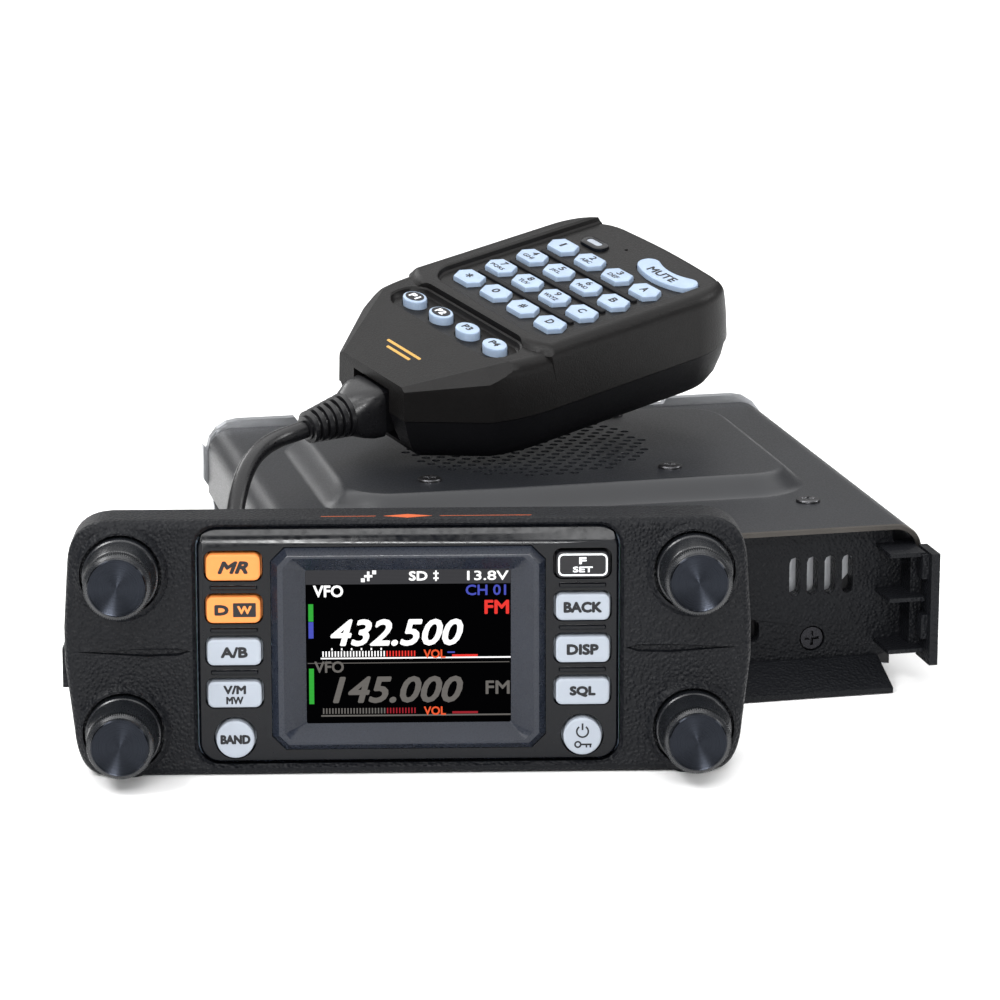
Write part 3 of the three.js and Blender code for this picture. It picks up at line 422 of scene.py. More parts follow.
def clear(name):
    """Clear glass with faint unevenness."""
    nodes = Nodes(name)
    fine = nodes.noise(6, 2)
    nodes.drive("Roughness", nodes.between(fine, 0.0, 0.01))
    nodes.set(Base_Color=(1, 1, 1, 1), Transmission_Weight=1.0, IOR=1.0)
    return nodes.material


CASE_BLACK = moulded("case_black", (0.0045, 0.005, 0.0065), 0.42, grain=0.3, depth=0.03, gloss=0.14,
                     leather=0.16)
PANEL_BLACK = moulded("panel_black", (0.006, 0.0065, 0.008), 0.46, grain=0.3, depth=0.03, gloss=0.13,
                      leather=0.14)
MIC_BLACK = moulded("mic_black", (0.005, 0.0046, 0.0046), 0.4, grain=0.4, depth=0.06, gloss=0.18)
MIC_BACK_BLACK = moulded("mic_back_black", (0.004, 0.004, 0.005), 0.5, grain=0.5, depth=0.03, gloss=0.15)
GLOSS_BLACK = moulded("gloss_black", (0.002, 0.0025, 0.004), 0.2, grain=1.5, depth=0.002, gloss=0.22)
FRAME_GREY = moulded("frame_grey", (0.011, 0.014, 0.022), 0.3, grain=0.4, depth=0.006, gloss=0.36)
COVER_PAINT = moulded("cover_paint", (0.009, 0.01, 0.0125), 0.36, grain=0.4, depth=0.02, gloss=0.5)
CAST_ALLOY = moulded("cast_alloy", (0.42, 0.43, 0.45), 0.42, grain=0.6, depth=0.06, metallic=0.9)
CAST_BLACK = moulded("cast_black", (0.012, 0.012, 0.013), 0.5, grain=0.6, depth=0.06, gloss=0.3)
BRIGHT_METAL = brushed("bright_metal", (0.6, 0.6, 0.62))
DARK_SCREW = brushed("dark_screw", (0.09, 0.09, 0.095), 0.35)
BLACK_SCREW = brushed("black_screw", (0.025, 0.025, 0.028), 0.3)
BOARD_GREEN = moulded("board_green", (0.02, 0.12, 0.05), 0.4, grain=0.5, depth=0.01)
RUBBER = moulded("rubber", (0.006, 0.006, 0.007), 0.5, grain=0.4, depth=0.02)
CABLE = moulded("cable", (0.004, 0.004, 0.005), 0.32, grain=0.6, depth=0.006, gloss=0.4)
INNER_BLACK = moulded("inner_black", (0.01, 0.01, 0.011), 0.6, grain=0.5, depth=0.03)
PALE_KEY = moulded("pale_key", (0.3, 0.33, 0.375), 0.45, grain=0.5, depth=0.004, spread=0.03)
ORANGE_KEY = moulded("orange_key", (0.72, 0.225, 0.05), 0.45, grain=0.5, depth=0.004, spread=0.04)
DARK_KEY = moulded("dark_key", (0.005, 0.005, 0.007), 0.35, grain=0.5, depth=0.004)
MIC_KEY = translucent("mic_key", (0.3, 0.38, 0.5))
KNOB_TURNED = spun("knob_turned", (0.017, 0.019, 0.024), 0.25)
PRINT_BLACK = moulded("print_black", (0.005, 0.005, 0.007), 0.5, depth=0.002)
PRINT_WHITE = moulded("print_white", (0.75, 0.77, 0.8), 0.5, depth=0.002, spread=0.03)
PRINT_ORANGE = moulded("print_orange", (0.5, 0.09, 0.02), 0.5, depth=0.002, spread=0.05)
WINDOW = clear("window_glass")
SCREEN = lit("screen", (0.001, 0.001, 0.0013))
LIT_WHITE = lit("lit_white", (1.0, 1.0, 1.0), 1.3)
LIT_GREY = lit("lit_grey", (0.16, 0.15, 0.14), 1.0)
LIT_BAR = lit("lit_bar", (0.055, 0.055, 0.06), 1.0)
LIT_RED = lit("lit_red", (0.95, 0.05, 0.04), 1.0)
LIT_DARK_RED = lit("lit_dark_red", (0.35, 0.02, 0.03), 1.0)
LIT_ORANGE = lit("lit_orange", (0.95, 0.12, 0.04), 1.0)
LIT_GREEN = lit("lit_green", (0.04, 0.45, 0.05), 1.0)
LIT_BLUE = lit("lit_blue", (0.08, 0.1, 0.55), 1.0)


# ================================================================ microphone cord
CORD_RADIUS = 2.05
COIL = {"outer": -98.0, "inner": -80.0, "front": -28.0, "turn": 60.0, "z": 6.6, "radius": 4.45}
COIL_PITCH = 4.4
TURN_PITCH = 8.2

MIC_TAIL = [
    (-56.6, 2.1, 49.2), (-59.6, 0.8, 48.7), (-62.8, -1.2, 48.3), (-66.4, -4.6, 47.6), (-69.8, -9, 46.3),
    (-72.8, -14, 43.9), (-75.3, -19.5, 40), (-77.3, -25, 34.8), (-79, -30.2, 28.6), (-80.6, -35, 21.8),
    (-82.4, -39.6, 15.2), (-84.8, -43.9, 9.4), (-88, -47.5, 5), (-92, -49.6, 2.8), (-96.2, -48.8, 2.2),
    (-98.8, -44.8, 2.15), (-99, -39.8, 2.12), (-98.4, -34.4, 2.1), (-98, -28.3, 2.1),
]
PLUG_TAIL = [
    (-80, -28.3, 2.1), (-80, -34, 2.1), (-80.3, -41, 2.15), (-80.8, -48, 2.3), (-81, -55, 2.8),
    (-79.6, -62, 3.8), (-76, -67.6, 5.2), (-70.6, -71, 7), (-64.4, -72.2, 9), (-58.2, -71.4, 11.2),
    (-53.2, -68.2, 13), (-50.5, -65, 13.9), (-50, -61.8, 14),
]


def through(points, spacing):
    """A smooth line through points, sampled about every spacing."""
    points = [Vector(p) for p in points]
    ends = [2 * points[0] - points[1], *points, 2 * points[-1] - points[-2]]
    line = []
    for a, b, c, d in zip(ends, ends[1:], ends[2:], ends[3:]):
        steps = max(1, round((c - b).length / spacing))
        for i in range(steps):
            t = i / steps
            line.append(0.5 * (2 * b + (c - a) * t + (2 * a - 5 * b + 4 * c - d) * t**2
                               + (3 * b - a - 3 * c + d) * t**3))
    return [*line, points[-1]]


def coil_middle(distance):
    """The point on the coil's middle line at a distance along it, and the direction to its side."""
    lane = COIL["turn"] - COIL["front"]
    radius = (COIL["inner"] - COIL["outer"]) / 2
    if distance < lane:
        return Vector((COIL["outer"], COIL["front"] + distance, COIL["z"])), Vector((-1, 0, 0))
    angle = math.pi - (distance - lane) / radius
    if angle > 0:
        side = Vector((math.cos(angle), math.sin(angle), 0))
        return Vector(((COIL["inner"] + COIL["outer"]) / 2, COIL["turn"], COIL["z"])) + side * radius, side
    left = distance - lane - math.pi * radius
    return Vector((COIL["inner"], COIL["turn"] - left, COIL["z"])), Vector((1, 0, 0))


def spaced(line, spacing):
    """The same line with its points an even distance apart."""
    points, left = [line[0]], spacing
    for a, b in zip(line, line[1:]):
        length = (b - a).length
        while length > 1e-9 and left <= length:
            points.append(a.lerp(b, left / length))
            left += spacing
        left -= length
    return [*points[:-1], line[-1]]


def coil_line():
    """The helix: turns a cord's width apart on the straight lanes and wider round the end, easing
    in and out of the straight cord at its lowest point."""
    lane = COIL["turn"] - COIL["front"]
    total = 2 * lane + math.pi * (COIL["inner"] - COIL["outer"]) / 2
    steps = 6000

    def rate(distance):
        into = min(distance, total - distance)
        start = min(1.0, into / 7)
        wide = min(1.0, max(0.0, (into - lane + 9) / 9))
        pitch = COIL_PITCH + (TURN_PITCH - COIL_PITCH) * wide * wide * (3 - 2 * wide)
        return start * start * (3 - 2 * start) / pitch

    rates = [rate(total * (i + 0.5) / steps) for i in range(steps)]
    turns = sum(rates) * total / steps
    step = round(turns) / turns * total / steps
    line, angle = [], 0.0
    for i in range(steps + 1):
        middle, side = coil_middle(total * i / steps)
        swing = 2 * math.pi * angle
        across = side * math.sin(swing) + Vector((0, 0, math.cos(swing)))
        line.append(middle - across * COIL["radius"])
        angle += rates[min(i, steps - 1)] * step
    return line


def tube(line, radius, sides=12):
    """A round tube whose rings follow a line without twisting."""
    rings = []
    across = None
    for i, point in enumerate(line):
        ahead = (line[min(i + 1, len(line) - 1)] - line[max(i - 1, 0)]).normalized()
        if across is None:
            across = ahead.cross(Vector((0, 0, 1)))
        across = (across - ahead * across.dot(ahead)).normalized()
        up = ahead.cross(across)
        angles = [2 * math.pi * k / sides for k in range(sides)]
        rings.append([point + (across * math.cos(a) + up * math.sin(a)) * radius for a in angles])
    return loft(rings)


def make_cord():
    line = through(MIC_TAIL, 0.4)[:-1] + coil_line() + through(PLUG_TAIL, 0.4)[1:]
    line = spaced(line, 1.7)
    body = tube(line, CORD_RADIUS)
    bmesh.ops.transform(body, matrix=RADIO, verts=body.verts)
    mesh = bpy.data.meshes.new("microphone_cord")
    body.to_mesh(mesh)
    body.free()
    smooth(mesh, 60)
    mesh.materials.append(CABLE)
    cord = bpy.data.objects.new("microphone_cord", mesh)
    bpy.context.scene.collection.objects.link(cord)
    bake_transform(cord)
    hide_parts("mic_cord_tail", "curly_cord", "plug_cord_tail")


make_cord()


# ================================================================ lettering and marks
FACE_UP = Matrix(((1, 0, 0, 0), (0, 0, -1, 0), (0, 1, 0, 0), (0, 0, 0, 1)))
KEYPAD_UP = Matrix(((0, 1, 0, 0), (-1, 0, 0, 0), (0, 0, 1, 0), (0, 0, 0, 1)))
PRINT_THICK = 0.02
BOLD_SPOTS = [(-1, 0), (1, 0), (0, 1), (0, -1), (-0.7, 0.7), (0.7, 0.7), (-0.7, -0.7), (0.7, -0.7)]


def lettering(text, height, width, at, upright, bold=0.0, slant=0.0):
    """Raised lettering of an overall height and width, centred at a point, in a plane given by the
    turn from X, Y, Z. Bold strokes are made of copies laid beside each other."""
    curve = bpy.data.curves.new("lettering", "FONT")
    curve.body = text
    curve.size = height / 0.72
    curve.shear = slant
    curve.extrude = PRINT_THICK
    curve.resolution_u = 3
    work = bpy.data.objects.new("lettering", curve)
    bpy.context.scene.collection.objects.link(work)
    mesh = bpy.data.meshes.new_from_object(work.evaluated_get(bpy.context.evaluated_depsgraph_get()))
    bpy.data.objects.remove(work)
    bpy.data.curves.remove(curve)
    xs = [vertex.co.x for vertex in mesh.vertices]
    ys = [vertex.co.y for vertex in mesh.vertices]
    centre = Matrix.Translation((-(min(xs) + max(xs)) / 2, -(min(ys) + max(ys)) / 2, 0))
    across_scale = (width - 2 * bold) / (max(xs) - min(xs))
    up_scale = (height - 2 * bold) / (max(ys) - min(ys))
    stretch = Matrix.Diagonal((across_scale, up_scale, 1, 1))
    whole = bmesh.new()
    for i, (across, up) in enumerate(BOLD_SPOTS if bold else [(0, 0)]):
        body = bmesh.new()
        body.from_mesh(mesh)
        shift = Matrix.Translation((across * bold, up * bold, 0.002 * i))
        bmesh.ops.transform(body, matrix=Matrix.Translation(at) @ upright @ shift @ stretch @ centre,
                            verts=body.verts)
        copy = bpy.data.meshes.new("copy")
        body.to_mesh(copy)
        body.free()
        whole.from_mesh(copy)
        bpy.data.meshes.remove(copy)
    bpy.data.meshes.remove(mesh)
    return whole


def bar(width, height, at, upright, thick=PRINT_THICK, radius=0.0):
    """A thin raised mark with a rectangular or rounded outline."""
    outline = rounded(width, height, max(radius, 0.01), steps=4)
    body = raised(outline, [(0, -thick), (0, thick)])
    bmesh.ops.transform(body, matrix=Matrix.Translation(at) @ upright, verts=body.verts)
    return body


def ring(outer, inner, at, upright, start=0, end=360):
    """A thin raised ring or part of one, angles from the right-hand side upwards."""
    steps = 24
    thin, through_it = [(0, -PRINT_THICK), (0, PRINT_THICK)], [(0, -2 * PRINT_THICK), (0, 2 * PRINT_THICK)]
    if end - start < 360:
        outline = arc(0, 0, outer, start, end, steps) + arc(0, 0, inner, end, start, steps)
        body = raised(outline, thin)
    else:
        body = cut(raised(circle(outer), thin), raised(circle(inner), through_it))
    bmesh.ops.transform(body, matrix=Matrix.Translation(at) @ upright, verts=body.verts)
    return body


# ================================================================ control head
HEAD_WIDTH, HEAD_HEIGHT, HEAD_DEPTH, FRONT_DEPTH, WALL = 139, 53, 18, 12, 2
KNOB_X, KNOB_HIGH, KNOB_LOW = 57.8, 42, 9.4
WELL_RADIUS, RIM_RADIUS, RIM_HEIGHT, WELL_DEPTH = 8.3, 9.25, 0.8, 2.6
HEAD_SCREWS = [(-52, 44), (52, 44), (-52, 10), (52, 10)]
INSET_SIZE, INSET_Z = (85.8, 49.2), 27
FRAME_SIZE, FRAME_Z, FRAME_FRONT, FRAME_CORNER = (55.3, 41.7), 26.35, -1.6, 2.8
GLASS_SIZE, GLASS_Z = (41.5, 31.8), 26.4
KEY_X, KEY_TOP, KEY_PITCH, KEY_SIZE, ROUND_KEY_Z, ROUND_KEY = 35.2, 43.5, 8.75, (10.9, 5.4), 7.9, 3.9


def head_outline():
    """Seen from the front: widest at half height, with round upper corners and sides that draw in
    towards the bottom."""
    half, top = HEAD_WIDTH / 2, HEAD_HEIGHT
    right = [(half, 24), (half, 31), (half - 0.9, 44.5)]
    right += bend((half - 0.9, 44.5), (half - 1.4, top - 0.4), (half - 9.5, top), 10)
    left = [(-x, z) for x, z in reversed(right)]
    low_left = [(1.8 - half, 8.5)] + bend((1.8 - half, 8.5), (2.6 - half, 0.4), (8 - half, 0), 8)
    low_right = [(-x, z) for x, z in reversed(low_left)]
    return right + left + low_left + low_right


def under_head():
    return moved(block(-90, -30, -20, 90, 60, 0), turn=3.5, axis="X")


def knob_places():
    """(name, x, z)"""
    rows = (("upper", KNOB_HIGH), ("lower", KNOB_LOW))
    sides = (("left", -KNOB_X), ("right", KNOB_X))
    return [(f"{row}_{side}", x, z) for row, z in rows for side, x in sides]


def make_front_case():
    edge = [(1.8 * a, b * 1.8) for a, b in quarter(1, 1, 5)]
    body = facing(head_outline(), [*edge, (0, FRONT_DEPTH)])
    body = cut(body, facing(shrink(head_outline(), WALL), [(0, WALL), (0, FRONT_DEPTH + 1)]))
    pocket = rounded(*INSET_SIZE, 4.6, (0, INSET_Z), 8)
    body = cut(body, facing(pocket, [(-0.7, -1), (-0.7, 0.01), (0, 0.7), (0, 3.6)]))
    rim = [(0, 4.4), (RIM_RADIUS + 0.5, 4.4), (RIM_RADIUS + 0.5, 0.1), (RIM_RADIUS + 0.1, -0.25),
           (RIM_RADIUS - 0.55, -RIM_HEIGHT), (0, -RIM_HEIGHT)]
    for _, x, z in knob_places():
        body = fused(body, moved(turned(rim, 56), (x, 0, z)))
        body = cut(body, moved(turned([(WELL_RADIUS, -2), (WELL_RADIUS, WELL_DEPTH)], 56), (x, 0, z)),
                   moved(turned([(3.6, 0), (3.6, 6)], 24), (x, 0, z)))
    for side in (-1, 1):
        crease = [(44.3, 26.1), (46.5, 25.5), (53, 25.3), (66.9, 26.1), (53, 26.5), (46.5, 26.5)]
        crease = crease if side > 0 else [(-x, z) for x, z in reversed(crease)]
        body = cut(body, facing(crease, [(-0.25, -1), (-0.25, 0), (0.1, 0.7)]))
    body = cut(body, block(-72, 2.6, 17.9, -66.6, 10.6, 26.6), under_head())
    piece("head_shell_front", body, HEAD, "control_head", CASE_BLACK, ["head_front_case"])


def make_rear_case():
    start = FRONT_DEPTH + 0.3
    outline = shrink(head_outline(), 0.8)
    edge = [(2.4 * a, HEAD_DEPTH - 2.4 * b) for a, b in reversed(quarter(1, 1, 5))]
    body = facing(outline, [(0, start), *edge])
    body = cut(body, facing(shrink(outline, WALL), [(0, start - 1), (0, HEAD_DEPTH - WALL)]), under_head(),
               block(-7.2, 0, 20.6, 7.2, 30, 30.4))
    panel = rounded(44, 8, 1.5, (0, 38), 4)
    body = cut(body, facing(panel, [(0.5, HEAD_DEPTH - 0.9), (0, HEAD_DEPTH + 1)]))
    for x, z in HEAD_SCREWS:
        body = cut(body, moved(turned([(2.6, HEAD_DEPTH - 1), (2.8, HEAD_DEPTH + 1)], 24), (x, 0, z)))
    piece("head_shell_rear", body, HEAD, "control_head", CASE_BLACK, ["head_rear_case"])
    for i, (x, z) in enumerate(HEAD_SCREWS):
        screw = moved(screw_body(2.3, 1.2), turn=180, axis="Z")
        piece(f"head_rear_screw_{i + 1}", moved(screw, (x, HEAD_DEPTH - 0.35, z)), HEAD, "control_head",
              DARK_SCREW)


def screw_body(radius, height):
    """A round-headed screw along Y, whose head faces -Y and ends at y = 0, with a cross recess."""
    head = [(radius, height), (radius, 0.35), (radius - 0.12, 0.16), (radius - 0.5, 0.04), (0.3, 0)]
    body = turned(head, 32)
    reach = radius * 0.52
    for turn in (20, 110):
        arm = loft([[(-reach, y, -w), (reach, y, -w), (reach, y, w), (-reach, y, w)]
                    for y, w in ((-0.2, 0.34), (0.55, 0.2))])
        body = cut(body, moved(arm, turn=turn, axis="Y"))
    return body


def make_top_stripe():
    """A thin coloured line on the top of the front case, parted round a small lozenge."""
    low, high = HEAD_HEIGHT - 0.1, HEAD_HEIGHT + 0.02
    marks = [block(-17.5, 3.2, low, -6.5, 3.5, high), block(6.5, 3.2, low, 25, 3.5, high)]
    lozenge = raised([(5, 3.4), (0, 5.2), (-5, 3.4), (0, 1.6)], [(0, low), (0, high)])
    stripe = together([*marks, lozenge])
    piece("head_top_stripe", stripe, HEAD, "control_head", PRINT_ORANGE)


make_front_case()
make_rear_case()
make_top_stripe()


# ---------------------------------------------------------------- display bezel
def key_places():
    """(name, x, z, whether the key is round)"""
    columns = ((-KEY_X, ("memory", "watch", "swap", "mode"), "band"),
               (KEY_X, ("setup", "back", "display", "squelch"), "power"))
    places = []
    for x, names, round_name in columns:
        places += [(name, x, KEY_TOP - i * KEY_PITCH, False) for i, name in enumerate(names)]
        places.append((round_name, x, ROUND_KEY_Z, True))
    return places


def key_outline(is_round, extra=0.0):
    if is_round:
        return circle(ROUND_KEY + extra, steps=40)
    return rounded(KEY_SIZE[0] + 2 * extra, KEY_SIZE[1] + 2 * extra, 1.3 + extra, steps=5)


def at(outline, x, z):
    return [(u + x, v + z) for u, v in outline]


def cut_corners(width, height, corner, centre):
    """A rectangle with its corners cut off."""
    x, y = width / 2, height / 2
    points = [(x, corner - y), (x, y - corner), (x - corner, y), (corner - x, y), (-x, y - corner),
              (-x, corner - y), (corner - x, -y), (x - corner, -y)]
    return [(u + centre[0], v + centre[1]) for u, v in points]


def make_bezel():
    plate = rounded(INSET_SIZE[0] - 0.6, INSET_SIZE[1] - 0.6, 4.3, (0, INSET_Z), 8)
    body = facing(plate, [(1.0, 0.5), (0.5, 0.62), (0, 1.3), (0, 3.3)])
    body = cut(body, beyond((0, 0.5, 48.3), (0, -0.9, 0.44)))
    seat = cut_corners(FRAME_SIZE[0] + 0.3, FRAME_SIZE[1] + 0.3, FRAME_CORNER, (0, FRAME_Z))
    body = cut(body, facing(seat, [(0, -1), (0, 5)]))
    for name, x, z, is_round in key_places():
        body = cut(body, facing(at(key_outline(is_round, 0.35), x, z), [(-0.3, 0), (0, 1), (0, 5)]))
    for x in (-KEY_X, KEY_X):
        for i in range(3):
            ridge = rounded(9.6, 0.9, 0.4, (x, KEY_TOP - (i + 0.5) * KEY_PITCH), 3)
            body = fused(body, facing(ridge, [(0.2, -0.1), (0, 0.15), (0, 1)]))
    piece("bezel_plate", body, HEAD, "control_head", GLOSS_BLACK, ["display_bezel"])


def make_display_frame():
    """A raised frame round the glass: chamfered outside, and sloped inside down to the glass."""
    outline = cut_corners(*FRAME_SIZE, FRAME_CORNER, (0, FRAME_Z))
    outside = [(1.6, FRAME_FRONT), (1.3, FRAME_FRONT + 0.06), (0.25, -0.1), (0, 0.3), (0, 3.3)]
    body = facing(outline, outside)
    wide = cut_corners(GLASS_SIZE[0] + 9.0, GLASS_SIZE[1] + 6.2, 1.9, (0, FRAME_Z))
    mouth = cut_corners(*GLASS_SIZE, 0.3, (0, GLASS_Z))
    levels = [(wide, FRAME_FRONT - 0.4), (wide, FRAME_FRONT), (mouth, 1.6), (mouth, 5)]
    flare = loft([[(x, y, z) for x, z in outline] for outline, y in levels])
    pocket = block(-GLASS_SIZE[0] / 2 - 1.4, 1.6, GLASS_Z - GLASS_SIZE[1] / 2 - 1.4,
                   GLASS_SIZE[0] / 2 + 1.4, 5, GLASS_Z + GLASS_SIZE[1] / 2 + 1.4)
    body = cut(body, flare, pocket)
    piece("display_frame", body, HEAD, "control_head", FRAME_GREY)


make_bezel()
make_display_frame()


# ---------------------------------------------------------------- head keys
KEY_MATERIALS = {"memory": (ORANGE_KEY, "orange_key"), "watch": (ORANGE_KEY, "orange_key"),
                 "setup": (DARK_KEY, "dark_key")}
KEY_FACE = -0.9
KEY_WORDS = {"swap": ("A/B", 5.5), "back": ("BACK", 7.8), "display": ("DISP", 6.5), "squelch": ("SQL", 5.3)}


def key_marks(name, x, z):
    """What is printed on a key: generic function words and signs."""
    y = KEY_FACE
    if name == "memory":
        return [lettering("MR", 2.6, 6.2, (x, y, z), FACE_UP, bold=0.2, slant=0.3)]
    if name == "watch":
        return [lettering("D", 2.2, 2.9, (x - 2.4, y, z), FACE_UP, bold=0.2),
                bar(4.6, 2.9, (x + 2.2, y, z), FACE_UP, radius=0.15)]
    if name == "setup":
        outer, inner = rounded(10, 4.6, 1.1, steps=4), rounded(9.3, 3.9, 0.8, steps=4)
        border = cut(raised(outer, [(0, -0.02), (0, 0.02)]), raised(inner, [(0, -1), (0, 1)]))
        bmesh.ops.transform(border, matrix=Matrix.Translation((x, y, z)) @ FACE_UP, verts=border.verts)
        return [border, lettering("F", 1.45, 1.5, (x, y, z + 0.85), FACE_UP, bold=0.1),
                lettering("SET", 1.2, 4.0, (x, y, z - 0.95), FACE_UP, bold=0.07)]
    if name == "mode":
        return [lettering("V/M", 1.85, 4.6, (x, y, z + 1.0), FACE_UP, bold=0.13),
                lettering("MW", 1.6, 3.5, (x, y, z - 1.2), FACE_UP, bold=0.1)]
    if name == "power":
        return [ring(1.35, 1.0, (x, y, z + 1.0), FACE_UP, start=-235, end=55),
                bar(0.36, 1.4, (x, y, z + 2.0), FACE_UP),
                ring(0.75, 0.4, (x - 0.95, y, z - 1.7), FACE_UP),
                bar(2.2, 0.36, (x + 0.75, y, z - 1.7), FACE_UP),
                *[bar(0.34, 0.7, (x + tooth, y, z - 2.0), FACE_UP) for tooth in (0.8, 1.6)]]
    if name == "band":
        return [lettering("BAND", 1.95, 6.1, (x, y, z), FACE_UP, bold=0.15)]
    text, width = KEY_WORDS[name]
    return [lettering(text, 2.3, width, (x, y, z), FACE_UP, bold=0.17)]


def make_keys():
    for name, x, z, is_round in key_places():
        material, slot = KEY_MATERIALS.get(name, (PALE_KEY, "pale_key"))
        outline = key_outline(is_round)
        cap = facing(outline, [(0.5, KEY_FACE), (0.25, KEY_FACE + 0.03), (0.07, KEY_FACE + 0.15),
                               (0, KEY_FACE + 0.4), (0, 4.2)])
        flange = facing(key_outline(is_round, 0.75), [(0, 3.7), (0, 4.7)])
        body = moved(fused(cap, flange), (x, 0, z))
        piece(f"key_{name}_cap", body, HEAD, f"{name}_key", material, [f"key_{name}"])
        print_color = PRINT_WHITE if name == "setup" else PRINT_BLACK
        if name == "watch":
            sign = lettering("W", 1.7, 2.9, (x + 2.2, KEY_FACE - 0.02, z), FACE_UP, bold=0.12)
            piece("key_watch_sign", sign, HEAD, "watch_key", material)
        piece(f"key_{name}_print", together(key_marks(name, x, z)), HEAD, f"{name}_key", print_color)


make_keys()


# ---------------------------------------------------------------- knobs
KNURL = 96


def make_knobs():
    profile = [(0, -13.1), (1.2, -13.02), (5.3, -13.02), (5.62, -13.1), (5.85, -12.85), (6.0, -12.1),
               (6.5, -11.75), (6.62, -11.6), (6.66, -9.6), (6.62, -9.5), (6.7, -9.3), (6.85, -8.8),
               (7.35, -2.4), (7.6, -2.2), (7.7, -1.9), (7.75, 1.9), (3.3, 1.9), (3.3, -9.4), (0, -9.4)]
    knurled = range(7, 9)

    def ripple(i, k):
        return 0.15 * (1 if k % 3 else -1) if i in knurled else 0.0

    for name, x, z in knob_places():
        body = moved(turned(profile, KNURL * 3, ripple), (x, 0, z))
        made = piece(f"knob_{name}_turned", body, HEAD, f"{name}_knob", KNOB_TURNED,
                     [f"knob_{name}"], angle=24, centre=(x, 0, z))
        made.data.materials.append(KNOB_SIDE)
        for polygon in made.data.polygons:
            polygon.material_index = 0 if abs(polygon.center.z - 0.01305) < 0.0001 else 1


KNOB_SIDE = moulded("knob_side", (0.007, 0.008, 0.01), 0.28, grain=0.3, depth=0.003, gloss=0.6)
make_knobs()


# ---------------------------------------------------------------- display picture
LIT_Y = 3.35


def on_glass(across, up):
    """A point of the picture: across from the glass's left edge, up from its lower edge."""
    return (across - GLASS_SIZE[0] / 2, LIT_Y, GLASS_Z - GLASS_SIZE[1] / 2 + up)


def mark(width, height, across, up):
    return bar(width, height, on_glass(across, up), FACE_UP)


def word(text, height, width, across, up, **style):
    """Lettering in a box given by its size, left end and lower edge."""
    return lettering(text, height, width, on_glass(across + width / 2, up + height / 2), FACE_UP, **style)


def picture(name, bodies, material):
    piece(f"picture_{name}", together(bodies), HEAD, "control_head", material)


def meter_marks(up, lowest, highest):
    """The upright strokes of a signal meter."""
    return [mark(0.28, 1.15, lowest + 0.62 * i, up) for i in range(round((highest - lowest) / 0.62))]


def make_picture():
    status, top_meter, low_meter = 29.1, 14.0, 2.1
    top_line, low_line = [mark(38.6, 0.3, 22.2, up) for up in (13.1, 1.1)]
    satellite = [mark(0.5, 2.0, 12.7, 30.1), mark(1.7, 0.5, 12.7, 30.1), mark(0.8, 0.8, 13.9, 30.9),
                 mark(0.8, 0.8, 11.6, 29.3)]
    link = [mark(0.35, 2.2, 26.4, 30.1), *[mark(1.1, 0.35, 26.4, up) for up in (30.6, 29.6)]]
    picture("status_bar", [bar(41.5, 3.3, on_glass(20.75, 30.1), FACE_UP, thick=0.01)], LIT_BAR)
    picture("white", [
        word("VFO", 2.5, 6.1, 1.5, 25.8, bold=0.1),
        word("432.500", 5.6, 27.0, 4.9, 15.6, bold=0.2, slant=0.25),
        word("13.8V", 2.0, 8.4, 32.7, status, bold=0.06),
        word("SD", 2.0, 3.8, 20.9, status, bold=0.1),
        *satellite,
        *link,
        *meter_marks(top_meter, 3.4, 16.2),
        *[mark(0.3, 0.45, 5.2 + 2.0 * i, 15.0) for i in range(6)],
        top_line,
    ], LIT_WHITE)
    picture("blue", [word("CH 01", 2.2, 8.2, 32.4, 26.0, bold=0.06), mark(1.0, 3.4, 1.0, 19.0),
                     mark(1.5, 0.3, 29.4, 14.2)], LIT_BLUE)
    picture("green", [mark(1.0, 3.6, 1.0, 22.6), mark(1.0, 7.4, 1.0, 7.3)], LIT_GREEN)
    picture("red", [word("FM", 2.9, 5.0, 36.2, 22.1, bold=0.12), *meter_marks(top_meter, 16.4, 22.3),
                    mark(5.2, 0.45, 32.2, 13.5)], LIT_RED)
    picture("dark_red", [*meter_marks(low_meter, 16.4, 22.3), mark(5.2, 0.45, 32.2, 1.6)], LIT_DARK_RED)
    picture("orange", [word("VOL", 1.8, 4.5, 23.8, up, bold=0.06) for up in (13.0, 1.1)], LIT_ORANGE)
    picture("grey", [
        word("VFO", 2.4, 6.0, 1.6, 10.1, bold=0.08),
        word("145.000", 5.6, 26.5, 5.3, 3.7, bold=0.2, slant=0.25),
        word("FM", 2.8, 4.9, 36.4, 5.4, bold=0.08),
        *meter_marks(low_meter, 3.4, 16.2),
        low_line,
        mark(41.0, 0.15, 20.75, 12.1),
    ], LIT_GREY)


make_picture()


# ================================================================ microphone
MIC_CABLE, MIC_TOP, MIC_HALF = -53, 35.5, 28.7
SEAM, BACK, DECK, RIM = -14.2, -26.5, -1.2, 0.5
ROW_PITCH, COLUMN_PITCH = 9.15, 10.4
KEY_ROWS = [step * ROW_PITCH for step in (1.5, 0.5, -0.5, -1.5)]
KEY_COLUMNS = [step * COLUMN_PITCH for step in (1.5, 0.5, -0.5, -1.5)]
P_KEYS_X = -29.4
MUTE_X, MUTE_Y = 22.6, -11.8
CREST, FACE_SLOPE = (-37, 0, -2.4), 14
LAMP = (20.9, 12.7)


